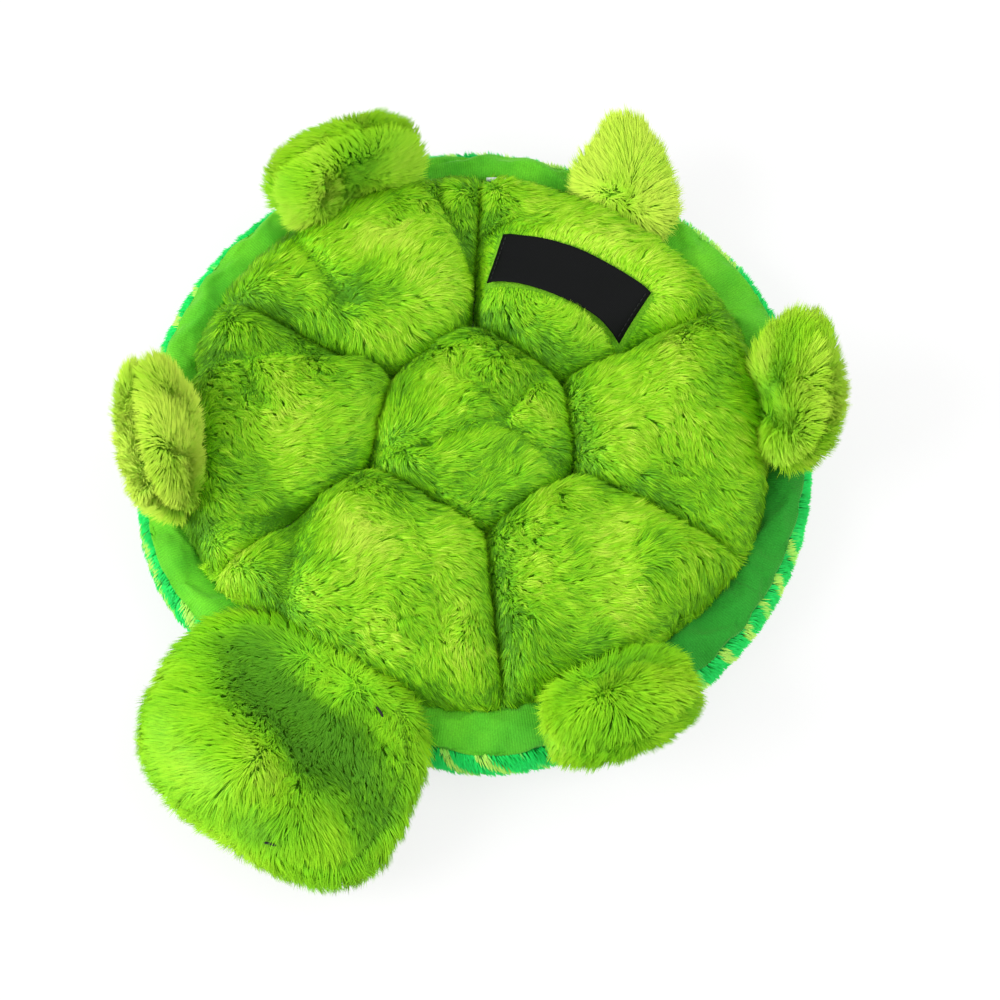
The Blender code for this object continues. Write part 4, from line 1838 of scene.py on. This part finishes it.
@dataclass(frozen=True)
class Hollow:
    """A dent, or with a negative share a swelling, in one face of a limb.

    Its middle is in millimetres from the middle of the limb's root, and its share is of the limb's depth.
    """

    across: float
    along: float
    length: float
    width: float
    turn: float
    share: float
    sole: bool = True

    def share_at(self, across: Spots, along: Spots) -> Spots:
        """The share of its depth that the limb loses at each place.

        Args:
            across: Places across the limb.
            along: Distances from its root edge.

        Returns:
            One share for each place.
        """
        turn = math.radians(self.turn)
        right, out = across / MM - self.across, along / MM - self.along
        lengthwise = (right * math.cos(turn) + out * math.sin(turn)) / self.length
        sideways = (out * math.cos(turn) - right * math.sin(turn)) / self.width
        return self.share * np.exp(-(lengthwise**4) - sideways**2)


@dataclass(frozen=True)
class Limb:
    """A stuffed limb of two panels, flat at its root seam and fuller outwards. X is across and Y outwards.

    Its pile is longer than the belly's, and its painted light level is the shade of its pile, set paler or
    deeper as painted light and shade for how brightly the limb is lit. Where its faces are apart, each has a
    pile of its own, so that neither is too heavy to save. The pile turns from lying back to lying outwards
    within the turning reach, and its lengths are shares of the full one.
    """

    body: str
    joint: str
    replaced: tuple[str, ...]
    lift: float
    length: float
    root_width: float
    width: float
    sole_depth: float
    back_depth: float
    curl: float
    sweep: float
    aside: float = 0.0
    swell_start: float = 4.2 * MM
    curl_start: float = 0.0
    hollows: tuple[Hollow, ...] = ()
    root_radius: float = 4.2 * MM
    full_depth_share: float = 0.6
    rounding_share: float = 0.85
    outline_power: float = 2.5
    dent_limits: tuple[float, float] = (-0.6, 0.9)
    lump_length: float = 20 * MM
    lump_height: float = 0.5 * MM
    fan: float = 1.0
    turning_start: float = 7 * MM
    turning_reach: float = 8 * MM
    lie_back: float = -0.8
    brush_length: float = 26 * MM
    brush_share: float = 0.4
    fill: Fill = Fill.SOFT
    # Painted light and shade: a limb's pile is set paler where it is brighter lit, deeper where less
    painted_light_level: float = 0.6
    tone_length: float = 24 * MM
    tone_shade: float = 0.1
    # Painted shade in the limb's hollows
    painted_hollow_shade: float = 0.8
    root_pile: float = 0.8
    outer_pile: float = 0.2
    root_pile_reach: float = 9 * MM
    hollow_loss: float = 0.55
    seam_share: float = 1.0
    seam_reach_share: float = 0.03
    seam_loss: float = 0.7
    filling_reach: float = 0.92
    filling_share: float = 0.76
    lowest: float = 0.3 * MM
    faces_apart: bool = False
    rings: int = 26
    steps: int = 72
    seed: int = 300
    pile: Pile = Pile(
        LIME_PILE,
        length=10.5 * MM,
        width=0.56 * MM,
        per_square_mm=4.6,
        root_lean=22.0,
        tip_lean=56.0,
        clump_pull=0.06,
        ruffle=0.15,
        shade_spread=0.045,
        softness=0.97,
        lift=1.5,
    )

    @property
    def place(self) -> Matrix:
        """Takes the limb's own axes into the toy's frame: its X is the joint's axis.

        Returns:
            The limb's placing.
        """
        joint = next(joint for joint in frame["joints"] if joint["name"] == self.joint)
        turn = math.atan2(joint["axis"][1], joint["axis"][0])
        lift = Matrix.Rotation(math.radians(self.lift), 4, "X")
        return Matrix.Translation(joint["pos_m"]) @ Matrix.Rotation(turn, 4, "Z") @ lift

    def half_width(self, along: Spots) -> Spots:
        """Half the limb's width at a distance from its root edge."""
        return (self.root_width + (self.width - self.root_width) * ease(along / self.length)) / 2

    def dented(self, across: Spots, along: Spots, sole: bool) -> Spots:
        """The share of its depth that one face loses in its hollows."""
        shares = [hollow.share_at(across, along) for hollow in self.hollows if hollow.sole == sole]
        return np.clip(sum(shares, np.zeros(len(along))), *self.dent_limits)

    def height(self, across: Spots, along: Spots, ring: Spots, sole: bool) -> Spots:
        """How far a face stands from the seam's plane.

        Args:
            across: Places across the limb.
            along: Distances from its root edge.
            ring: Shares, from 0 in the middle to 1 at the outline.
            sole: Whether this is the face on the belly's side.

        Returns:
            Heights, below the plane on the back's side.
        """
        start = self.swell_start
        swell = ease((along - start) / (self.length * self.full_depth_share - start))
        reach = self.root_radius + (self.length / 2 * self.rounding_share - self.root_radius) * swell
        full = self.sole_depth if sole else self.back_depth
        depth = self.root_radius + (full - self.root_radius) * swell
        depth = depth * (1 - self.dented(across, along, sole))
        places = np.column_stack((across, along, np.full(len(along), sole)))
        lumps = Waves(length=self.lump_length, seed=self.seed).at(places)
        rounded = puff((1 - ring) * self.length / 2, reach)
        return (depth + lumps * self.lump_height * swell) * rounded * (1 if sole else -1)

    def shaped(self, across: Spots, along: Spots, height: Spots) -> Spots:
        """Points once the limb leans sideways and curls, in the toy's frame.

        Args:
            across: Places across the limb.
            along: Distances from its root edge.
            height: Heights over its seam's plane.

        Returns:
            Rows of x, y and z.
        """
        across = across + self.aside + self.sweep * (along / self.length) ** 2
        outward = along - self.root_radius
        radius = (self.length - self.root_radius - self.curl_start) / math.radians(self.curl)
        angle = np.maximum(outward - self.curl_start, 0.0) / radius
        curled = outward > self.curl_start
        y = np.where(curled, self.curl_start + (radius - height) * np.sin(angle), outward)
        z = np.where(curled, radius - (radius - height) * np.cos(angle), height)
        return self.to_toy(np.column_stack((across, y, z)))

    def to_toy(self, points: Spots) -> Spots:
        """Takes points from the limb's own axes into the toy's frame."""
        place = np.array(self.place)
        return points @ place[:3, :3].T + place[:3, 3]

    def plan(self, ring: float) -> tuple[Spots, Spots]:
        """Places across and along one ring of the limb's outline, drawn in to a share of its size.

        Args:
            ring: The share.

        Returns:
            The places across and the distances from the root edge.
        """
        turn = np.arange(self.steps) * 2 * math.pi / self.steps
        power = 2 / self.outline_power
        half = self.length / 2
        along = half - half * ring * np.sign(np.cos(turn)) * np.abs(np.cos(turn)) ** power
        across = self.half_width(along) * ring * np.sign(np.sin(turn)) * np.abs(np.sin(turn)) ** power
        return across, along

    def ring_share(self, across: Spots, along: Spots) -> Spots:
        """Which ring of the outline a place lies on, from 0 in the middle to 1 at the outline.

        Args:
            across: Places across the limb.
            along: Distances from its root edge.

        Returns:
            One ring for each place.
        """
        half = self.length / 2
        sideways = np.abs(across - self.sweep * (along / self.length) ** 2) / self.half_width(along)
        lengthwise = np.abs(along - half) / half
        return (sideways**self.outline_power + lengthwise**self.outline_power) ** (1 / self.outline_power)

    def skin(self, name: str, finish: Finish, reach: float = 1.0, fullness: float = 1.0) -> bpy.types.Object:
        """A closed form: rings from the middle of the sole out to the seam and back over the other face.

        Args:
            name: The new piece's name.
            finish: What it is made of.
            reach: The share of the outline that it fills.
            fullness: The share of the limb's depth that it fills.

        Returns:
            The new object.
        """
        shares = np.sin(np.linspace(0.0, math.pi / 2, self.rings + 1))[1:]
        rows = []
        for sole, order in ((True, shares), (False, shares[-2::-1])):
            for ring in order:
                across, along = self.plan(ring * reach)
                height = self.height(across, along, np.full(self.steps, ring * reach), sole) * fullness
                rows.append(self.shaped(across, along, height))
        middle = (np.zeros(1), np.full(1, self.length / 2))
        heights = [self.height(*middle, np.zeros(1), sole) * fullness for sole in (True, False)]
        poles = [self.shaped(*middle, height) for height in heights]
        points = np.concatenate((poles[0], *rows, poles[1]))
        last = len(points) - 1
        ring_before = last - self.steps
        fans = []
        for i in range(self.steps):
            j = (i + 1) % self.steps
            fans.append([0, 1 + i, 1 + j, -1])
            fans.append([last, ring_before + j, ring_before + i, -1])
        sides = grid_faces(len(rows), self.steps, wraps=True)[:, ::-1] + 1
        return new_piece(name, points, np.concatenate((np.array(fans), sides)), finish)

    def build(self, bare: Field | None = None) -> None:
        """Makes the cover, its pile and its filling.

        Args:
            bare: Tells which roots stay bare.
        """
        cover = self.skin(f"{self.body}_cover", LIME_GROUND)
        filling = self.skin(f"{self.body}_filling", POLYESTER_FILL, self.filling_reach, self.filling_share)
        turn = np.array(self.place)[:3, :3]
        origin = np.array(self.place)[:3, 3]
        brushed = Waves(length=self.brush_length, seed=self.seed + 1)
        tone = Waves(length=self.tone_length, seed=self.seed + 2)

        def flat(spots: Spots) -> tuple[Spots, Spots, Spots]:
            """Places across and along the limb, and heights over its seam's plane."""
            local = (spots - origin) @ turn
            return local[:, 0] - self.aside, local[:, 1] + self.root_radius, local[:, 2]

        def sunk(spots: Spots) -> Spots:
            """How deep a root lies in a hollow.

            Args:
                spots: The roots.

            Returns:
                One share for each root, from 0 to 1.
            """
            across, along, over = flat(spots)
            soled = self.dented(across, along, True)
            return np.clip(np.where(over > 0, soled, self.dented(across, along, False)), 0.0, 1.0)

        def nap(spots: Spots, normals: Spots) -> Spots:
            """The pile runs out to the tip and fans to both sides, and stands back over the root's seam.

            Args:
                spots: The roots.
                normals: The cover's normals there.

            Returns:
                One way for each root.
            """
            across, along, _ = flat(spots)
            sideways = across / self.half_width(np.clip(along, 0.0, self.length)) * self.fan
            sideways = sideways + brushed.at(spots) * self.brush_share
            outwards = np.clip((along - self.turning_start) / self.turning_reach, self.lie_back, 1.0)
            return np.column_stack((sideways, outwards, np.zeros(len(spots)))) @ turn.T

        def shade(spots: Spots) -> Spots:
            """Varied a little over the limb round its painted light level, and darker in its hollows with painted
            shade.
            """
            return self.painted_light_level + self.tone_shade * tone.at(spots) - self.painted_hollow_shade * sunk(spots)

        def height(spots: Spots) -> Spots:
            """Shorter at the root, in hollows and where the panels' seam shows.

            Args:
                spots: The roots.

            Returns:
                The share of its length that each root's lock has.
            """
            across, along, over = flat(spots)
            seam = bell(self.ring_share(across, along) - self.seam_share, self.seam_reach_share) * (over > 0)
            full = self.root_pile + self.outer_pile * ease(along / self.root_pile_reach)
            return full * (1 - self.hollow_loss * sunk(spots)) * (1 - self.seam_loss * seam)

        def elsewhere(spots: Spots, sole: bool) -> Spots:
            """Roots that stay bare or are on the other face."""
            left_out = np.zeros(len(spots), dtype=bool) if bare is None else bare(spots)
            return left_out | ((flat(spots)[2] > 0) != sole) if self.faces_apart else left_out

        piles = []
        for face in ("chin", "crown") if self.faces_apart else ("",):
            name = "_".join(part for part in (self.body, face, "pile") if part)
            pile = self.pile.grow(
                name,
                cover,
                nap,
                seed=self.seed,
                shade=shade,
                height=height,
                bare=partial(elsewhere, sole=face == "chin"),
                lowest=self.lowest,
            )
            piles.append(pile)
        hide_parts(*self.replaced)
        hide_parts(f"{self.body}_wadding")
        for piece in (cover, *piles, filling):
            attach(piece, self.body)
            report(piece)


def foot(
    name: str,
    lift: float,
    lean: tuple[float, float],
    size: tuple[float, float, float, float],
    painted_light_level: float,
    seed: int,
    hollows: tuple[Hollow, ...] = (),
) -> Limb:
    """One of the four feet, which are cut alike and differ in how they lie and crumple.

    Args:
        name: The foot's body.
        lift: How far it is lifted, in degrees.
        lean: How far its root lies to one side and its tip leans over, in millimetres.
        size: Its length, root width, width and depth as it lies, in millimetres.
        painted_light_level: How pale its pile is drawn, as painted light for how brightly the foot is lit.
        seed: Seeds its pile.
        hollows: Its own dents.

    Returns:
        The foot.
    """
    length, root_width, width, depth = (value * MM for value in size)
    return Limb(
        body=name,
        joint=f"{name}_bend",
        replaced=(f"{name}_sole", f"{name}_back"),
        lift=lift,
        length=length,
        root_width=root_width,
        width=width,
        sole_depth=depth,
        back_depth=depth,
        curl=16.0,
        aside=lean[0] * MM,
        sweep=lean[1] * MM,
        painted_light_level=painted_light_level,
        hollows=hollows,
        seed=seed,
    )


# Each foot's painted light level is painted light: paler for a foot that is brighter lit
FEET = (
    foot("front_left_foot", lift=66.0, lean=(-3, 3), size=(43, 47, 54, 8.6), painted_light_level=0.95, seed=310),
    foot(
        "hind_left_foot",
        lift=80.0,
        lean=(2, -7),
        size=(43, 56, 52, 8.6),
        painted_light_level=0.64,
        seed=320,
        hollows=(
            Hollow(across=2, along=25, length=14, width=11, turn=80, share=0.36),
            Hollow(across=-17, along=24, length=18, width=7, turn=90, share=-0.35),
        ),
    ),
    foot(
        "front_right_foot",
        lift=36.0,
        lean=(4, 3),
        size=(42, 46, 53, 9.2),
        painted_light_level=0.5,
        seed=330,
        hollows=(
            Hollow(across=-1, along=15, length=14, width=8, turn=10, share=0.85),
            Hollow(across=2, along=34, length=24, width=7, turn=0, share=-0.35),
        ),
    ),
    foot(
        "hind_right_foot",
        lift=58.0,
        lean=(0, -3),
        size=(42, 46, 53, 6.8),
        painted_light_level=0.66,
        seed=340,
        hollows=(Hollow(across=0, along=13, length=12, width=8, turn=60, share=0.7),),
    ),
)
TAIL = Limb(
    body="tail",
    joint="tail_bend",
    replaced=("tail_under_panel", "tail_upper_panel"),
    lift=16.0,
    length=35 * MM,
    root_width=42 * MM,
    width=18 * MM,
    sole_depth=8 * MM,
    back_depth=8 * MM,
    curl=10.0,
    sweep=-13 * MM,
    fan=1.1,
    # painted light: the tail's pile is set pale, as it is brightly lit
    painted_light_level=0.95,
    seed=350,
)
HEAD = Limb(
    body="head",
    joint="head_bend",
    replaced=("head_chin_panel", "head_crown_panel"),
    lift=0.0,
    length=75 * MM,
    root_width=94 * MM,
    width=98 * MM,
    sole_depth=17 * MM,
    back_depth=17.5 * MM,
    curl=-26.0,
    aside=-3 * MM,
    sweep=-6 * MM,
    outline_power=2.9,
    swell_start=13 * MM,
    curl_start=13 * MM,
    hollows=(
        Hollow(across=-8, along=30, length=42, width=16, turn=-17, share=0.86),
        Hollow(across=0, along=57, length=46, width=10, turn=-12, share=-0.28),
    ),
    # painted shade: the head's pile is set deeper than the feet's
    painted_light_level=0.44,
    faces_apart=True,
    fan=1.3,
    fill=Fill.SLACK,
    seam_share=0.93,
    filling_share=0.7,
    rings=34,
    steps=96,
    seed=360,
    pile=Pile(
        LIME_PILE,
        length=10.5 * MM,
        width=0.48 * MM,
        per_square_mm=3.9,
        root_lean=26.0,
        tip_lean=58.0,
        clump_pull=0.08,
        ruffle=0.24,
        shade_spread=0.055,
        softness=0.9,
        lift=0.6,
    ),
)


@dataclass(frozen=True)
class Face:
    """The embroidered eyes on the crown of the head, round which the pile is sheared away."""

    eyes: tuple[str, ...] = ("eye_white_left", "eye_white_right")
    sheared: float = 1.0 * MM

    def bare(self, roots: Spots) -> Spots:
        """Which roots lie where an eye is sewn.

        Args:
            roots: Rows of x, y and z.

        Returns:
            True for each root that does.
        """
        covered = np.zeros(len(roots), dtype=bool)
        for eye in self.eyes:
            low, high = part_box(eye)
            middle = np.array((low + high) / 2)
            reach = max(high.x - low.x, high.y - low.y) / 2 + self.sheared
            covered |= np.linalg.norm(roots - middle, axis=1) < reach
        return covered


@dataclass(frozen=True)
class ThreadEnds:
    """Two cut ends of black thread that stick out of the chin's pile, placed across and along the head."""

    head: Limb
    places: tuple[tuple[float, float], ...] = ((-27.7, 13.5), (-15.0, 68.0))
    turns: tuple[float, ...] = (-26.0, 16.0)
    length: float = 4.8 * MM
    radius: float = 0.5 * MM
    over_cloth: float = 7.5 * MM
    rise: float = 0.12
    bend: float = 0.05
    tip_share: float = 0.3
    rings: int = 9
    sides: int = 6

    def build(self) -> None:
        """Makes the thread ends as slightly bent tubes."""
        points: list[Spots] = []
        faces: list[Spots] = []
        for (across, along), turn in zip(self.places, self.turns):
            middle = np.array([across, along]) * MM
            ring = self.head.ring_share(middle[:1], middle[1:])
            height = self.head.height(middle[:1], middle[1:], np.minimum(ring, 1.0), True) + self.over_cloth
            centre = self.head.shaped(middle[:1], middle[1:], height)[0]
            way = np.array((math.cos(math.radians(turn)), math.sin(math.radians(turn)), self.rise))
            side = np.cross(way, (0.0, 0.0, 1.0))
            side /= np.linalg.norm(side)
            for number, share in enumerate(np.linspace(-1, 1, self.rings)):
                bent = side * (share * share - 0.5) * self.length * self.bend
                spine = centre + way * share * self.length / 2 + bent
                width = self.radius * (self.tip_share if number in (0, self.rings - 1) else 1.0)
                angles = np.arange(self.sides) * 2 * math.pi / self.sides
                circle = np.outer(np.cos(angles), side) + np.outer(np.sin(angles), (0, 0, 1))
                points.append(spine + circle * width)
            start = len(faces) * self.rings * self.sides
            faces.append(grid_faces(self.rings, self.sides, wraps=True) + start)
        ends = new_piece("thread_ends", np.concatenate(points), np.concatenate(faces), BLACK_THREAD)
        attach(ends, "head")
        report(ends)


@dataclass(frozen=True)
class SewnLabel:
    """The woven label, bare, bowed over the pocket nearest the tail and stitched down at both ends."""

    belly: QuiltedBelly
    length: float = 60 * MM
    width: float = 22 * MM
    bow: float = 5 * MM
    across: float = 2 * MM
    along: float = -1.3 * MM
    turn: float = 6.5
    spread_share: float = 0.11
    over_cloth: float = 2.2 * MM
    stiffness: float = 0.88
    held_from: float = 0.9
    held_reach: float = 0.1
    stitched_drop: float = 0.8 * MM
    wave: Waves = Waves(length=18 * MM, seed=51)
    wave_height: float = 0.25 * MM
    stitch_row: float = 0.955
    stitch_half_height: float = 0.46
    stitch_points: int = 20
    stitch_lift: float = 0.1 * MM
    parting: float = 9 * MM
    cloth: float = 0.5 * MM
    fringe: float = 0.6 * MM
    pocket: int = 1
    columns: int = 60
    rows: int = 24

    @property
    def middle(self) -> Spots:
        """Where the label's middle lies.

        Returns:
            Its x and y.
        """
        half = np.array([0.5])
        inner, outer = self.belly.corners(self.pocket, half)[0], self.belly.edge(self.pocket, half)[0]
        return (inner + outer) / 2 + (self.across, self.along)

    def spots(self, share: Spots, up: Spots) -> Spots:
        """Places on the belly of points of the label.

        Args:
            share: How far along the label, from -1 to 1.
            up: How far up it, from -0.5 to 0.5.

        Returns:
            Rows of x and y.
        """
        turn = math.radians(self.turn)
        x = self.length / 2 * share * (1 + self.spread_share * up)
        y = self.width * up - self.bow * share * share
        across = x * math.cos(turn) - y * math.sin(turn)
        along = x * math.sin(turn) + y * math.cos(turn)
        return np.column_stack((across, along)) + self.middle

    def lie(self, spots: Spots) -> Spots:
        """Height of the label's underside: it is stiff enough to bridge the groove beside it."""
        return self.belly.top(self.middle + (spots - self.middle) * self.stiffness) + self.over_cloth

    def beyond(self, roots: Spots) -> tuple[Spots, Spots]:
        """How far points lie beyond the label's ends and beyond its sides, signed by which end and side.

        Args:
            roots: Rows of x and y, or of x, y and z.

        Returns:
            The distances past the ends and past the sides.
        """
        turn = math.radians(self.turn)
        offset = roots[:, :2] - self.middle
        x = offset[:, 0] * math.cos(turn) + offset[:, 1] * math.sin(turn)
        y = offset[:, 1] * math.cos(turn) - offset[:, 0] * math.sin(turn)
        share = x / (self.length / 2)
        up = (y + self.bow * share * share) / self.width
        x = x / (1 + self.spread_share * up)
        y = up * self.width
        past_end = np.sign(x) * np.maximum(np.abs(x) - self.length / 2, 0.0)
        return past_end, np.sign(y) * np.maximum(np.abs(y) - self.width / 2, 0.0)

    def covers(self, roots: Spots) -> Spots:
        """Which roots of pile lie under the label or its fringe."""
        return np.hypot(*self.beyond(roots)) < self.fringe

    def parted(self, roots: Spots) -> Spots:
        """The way and the strength with which the label pushes the pile beside it away.

        Args:
            roots: Rows of x, y and z.

        Returns:
            One way for each root, no longer than 1.
        """
        turn = math.radians(self.turn)
        past_end, past_side = self.beyond(roots)
        distance = np.hypot(past_end, past_side)
        strength = (1 - ease(distance / self.parting)) / np.maximum(distance, 1e-6)
        x = past_end * math.cos(turn) - past_side * math.sin(turn)
        y = past_end * math.sin(turn) + past_side * math.cos(turn)
        return np.column_stack((x, y, np.zeros(len(roots)))) * strength[:, None]

    def build(self) -> None:
        """Makes the label and the stitches at its ends."""
        share, up = np.meshgrid(np.linspace(-1, 1, self.columns), np.linspace(-0.5, 0.5, self.rows))
        share, up = share.ravel(), up.ravel()
        spots = self.spots(share, up)
        wave = self.wave.at(np.column_stack((spots, np.zeros(len(spots)))))
        held = ease((np.abs(share) - self.held_from) / self.held_reach)
        height = self.lie(spots) + wave * self.wave_height - held * self.stitched_drop
        places = np.column_stack((share * self.length / 2, up * self.width))
        points = np.column_stack((spots, height))
        label = new_piece("bare_label", points, grid_faces(self.rows, self.columns), LABEL_SATIN, places)
        thicken(label, self.cloth)
        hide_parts("sewn_label")
        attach(label, "body")
        self.belly.sink(label, self.belly.labels[self.pocket + 1])
        report(label)
        rows = []
        up = np.linspace(-self.stitch_half_height, self.stitch_half_height, self.stitch_points)
        for end in (-self.stitch_row, self.stitch_row):
            line = self.spots(np.full(self.stitch_points, end), up)
            rise = self.lie(line) - ease((abs(end) - self.held_from) / self.held_reach) * self.stitched_drop
            rows.append(np.column_stack((line, rise + self.stitch_lift)))
        row = Stitching(BLACK_THREAD, stitch=1.8 * MM, gap=0.5 * MM, radius=0.22 * MM)
        stitches = row.sew("label_stitches", rows)
        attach(stitches, "body")
        self.belly.sink(stitches, self.belly.labels[self.pocket + 1])
        report(stitches)


@dataclass(frozen=True)
class CareLabel:
    """A loop of white ribbon that is caught in the seam at the belly's edge, with nothing on it.

    Its fold takes up a share of its half length, and its two sides reach up to a share of its rise.
    """

    azimuth: float = 116.0
    width: float = 12 * MM
    loop: float = 1.1 * MM
    bow: float = 0.6 * MM
    fold: float = 0.25
    side_rise: float = 0.86
    fold_rise: float = 0.14
    columns: int = 13
    rows: int = 15
    cloth: float = 0.3 * MM

    def build(self) -> None:
        """Makes the loop where the CAD's label stands."""
        low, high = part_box("care_label")
        middle = (low + high) / 2
        foot, rise = low.z, high.z - low.z
        turn = math.radians(self.azimuth + 90)
        along = np.array((math.cos(turn), math.sin(turn), 0.0))
        outward = np.array((math.sin(turn), -math.cos(turn), 0.0))
        share, side = np.meshgrid(np.linspace(-1, 1, self.rows), np.linspace(-0.5, 0.5, self.columns))
        share, side = share.ravel(), side.ravel()
        folded = np.abs(share) < self.fold
        round_fold = np.sin(share * 2 * math.pi) * self.loop / 2
        spread = np.where(folded, round_fold, np.sign(share) * self.loop / 2)
        over_fold = self.side_rise + self.fold_rise * np.cos(share * 2 * math.pi)
        up = rise * np.where(folded, over_fold, (1 - np.abs(share)) / (1 - self.fold) * self.side_rise)
        bowed = self.bow * np.cos(side * math.pi) * up / rise
        points = np.array((middle.x, middle.y, foot)) + np.outer(side * self.width, along)
        points += np.outer(spread + bowed, outward) + np.outer(up, (0.0, 0.0, 1.0))
        places = np.column_stack((side * self.width, share * rise))
        ribbon = new_piece("ribbon_loop", points, grid_faces(self.columns, self.rows), RIBBON_SATIN, places)
        thicken(ribbon, self.cloth)
        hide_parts("care_label")
        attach(ribbon, "body")
        report(ribbon)


@dataclass(frozen=True)
class Studio:
    """A white floor, soft lamps from the lower left, and a camera at the photograph's angle.

    A lamp is its name, where it stands, how wide it is and its power in watts.
    """

    target: tuple[float, float, float] = (4 * MM, -0.5 * MM, 25 * MM)
    azimuth: float = 32.0
    elevation: float = 66.0
    distance: float = 1.0
    view_width: float = 385 * MM
    sensor: float = 36.0
    shift: tuple[float, float] = (0.015, -0.060)
    floor_width: float = 6.0
    backdrop_share: float = 0.78
    world_light: float = 0.78
    lamps: tuple[tuple[str, tuple[float, float, float], float, float], ...] = (
        ("key", (-0.95, -1.15, 1.25), 1.1, 25.0),
        ("fill", (1.2, 0.7, 1.9), 1.8, 16.0),
    )

    def build(self) -> None:
        """Sets up the floor, the lamps, the world and the camera."""
        scene = bpy.context.scene
        scene.view_settings.view_transform = "Standard"
        self.floor()
        self.world(scene)
        for lamp in self.lamps:
            self.lamp(*lamp)
        camera = bpy.data.objects.new("camera", bpy.data.cameras.new("camera"))
        turn, rise = math.radians(self.azimuth), math.radians(self.elevation)
        back = Vector((math.sin(turn) * math.cos(rise), -math.cos(turn) * math.cos(rise), math.sin(rise)))
        camera.location = Vector(self.target) + back * self.distance
        camera.rotation_euler = back.to_track_quat("Z", "Y").to_euler()
        camera.data.sensor_width = self.sensor
        camera.data.lens = self.sensor * self.distance / self.view_width
        camera.data.shift_x, camera.data.shift_y = self.shift
        scene.collection.objects.link(camera)
        scene.camera = camera

    def seen_directly(self, tree: bpy.types.NodeTree) -> bpy.types.NodeSocket:
        """One for a ray from the camera, a mirror or a glass, and nothing for the rest.

        Args:
            tree: The node tree to add to.

        Returns:
            The output that says so.
        """
        path = add_node(tree, "ShaderNodeLightPath")
        either = add_node(
            tree,
            "ShaderNodeMath",
            {"operation": "MAXIMUM"},
            {0: path.outputs["Is Camera Ray"], 1: path.outputs["Is Glossy Ray"]},
        )
        both = add_node(
            tree,
            "ShaderNodeMath",
            {"operation": "MAXIMUM"},
            {0: either.outputs[0], 1: path.outputs["Is Transmission Ray"]},
        )
        return both.outputs[0]

    def floor(self) -> None:
        """A white paper floor, which keeps the toy's shadow."""
        half = self.floor_width / 2
        corners = np.array([(-half, -half, 0.0), (half, -half, 0.0), (half, half, 0.0), (-half, half, 0.0)])
        paper = bpy.data.materials.new("white_paper")
        paper.use_nodes = True
        tree = paper.node_tree
        tree.nodes.clear()
        sheet = add_node(tree, "ShaderNodeBsdfDiffuse", inputs={"Color": linear("#f7f7f7")})
        glow = add_node(tree, "ShaderNodeEmission", inputs={"Color": (1.0, 1.0, 1.0, 1.0), "Strength": 1.0})
        share = add_node(
            tree,
            "ShaderNodeMath",
            {"operation": "MULTIPLY"},
            {0: self.seen_directly(tree), 1: self.backdrop_share},
        )
        mixed = add_node(
            tree, "ShaderNodeMixShader", inputs={0: share.outputs[0], 1: sheet.outputs[0], 2: glow.outputs[0]}
        )
        add_node(tree, "ShaderNodeOutputMaterial", inputs={"Surface": mixed.outputs[0]})
        mesh = bpy.data.meshes.new("floor")
        mesh.from_pydata(corners.tolist(), [], [(0, 1, 2, 3)])
        mesh.materials.append(paper)
        floor = bpy.data.objects.new("floor", mesh)
        bpy.context.scene.collection.objects.link(floor)

    def world(self, scene: bpy.types.Scene) -> None:
        """Even light from all round, behind a white backdrop.

        Args:
            scene: The scene to light.
        """
        scene.world = bpy.data.worlds.new("studio")
        scene.world.use_nodes = True
        tree = scene.world.node_tree
        tree.nodes.clear()
        even = add_node(tree, "ShaderNodeBackground", inputs={"Strength": self.world_light})
        white = add_node(tree, "ShaderNodeBackground", inputs={"Strength": 1.0})
        for background in (even, white):
            background.inputs["Color"].default_value = (1.0, 1.0, 1.0, 1.0)
        mixed = add_node(
            tree,
            "ShaderNodeMixShader",
            inputs={0: self.seen_directly(tree), 1: even.outputs[0], 2: white.outputs[0]},
        )
        add_node(tree, "ShaderNodeOutputWorld", inputs={"Surface": mixed.outputs[0]})

    def lamp(self, name: str, place: tuple[float, float, float], size: float, power: float) -> None:
        """A square soft lamp that faces the toy.

        Args:
            name: The lamp's name.
            place: Where it stands.
            size: How wide it is.
            power: Its power in watts.
        """
        light = bpy.data.lights.new(name, "AREA")
        light.size = size
        light.energy = power
        lamp = bpy.data.objects.new(name, light)
        lamp.location = place
        lamp.rotation_euler = (Vector(place) - Vector(self.target)).to_track_quat("Z", "Y").to_euler()
        bpy.context.scene.collection.objects.link(lamp)


def dress_cad_nodes() -> None:
    """Gives the CAD nodes that stay their own finish."""
    finishes: dict[str, Finish] = {
        "squeaker_plastic": SQUEAKER_PLASTIC,
        "wadding": POLYESTER_FILL,
        "lining_cloth": LINING_WEAVE,
        "eye_white": WHITE_FLOSS,
        "eye_black": BLACK_FLOSS,
        "label_white": RIBBON_SATIN,
    }
    slots = {row["node"]: row["material_slot"] for row in frame["record"]["subparts"]}
    for name, node in frame["nodes"].items():
        if slots[name] in finishes:
            node.data.materials.clear()
            node.data.materials.append(finishes[slots[name]].material())


def main() -> None:
    """Builds the toy's looks and the studio."""
    logging.basicConfig(level=logging.INFO, format="%(name)s: %(message)s")
    Studio().build()
    belly = QuiltedBelly()
    RimBand(belly).build()
    label = SewnLabel(belly)
    belly.build(bare=label.covers, parted=label.parted)
    SoftBulbs(belly.labels).build()
    label.build()
    CareLabel().build()
    StripedShell().build()
    for limb in (*FEET, TAIL):
        limb.build()
    HEAD.build(bare=Face().bare)
    ThreadEnds(HEAD).build()
    dress_cad_nodes()
    bpy.context.view_layer.update()


if __name__ == "__main__":
    main()
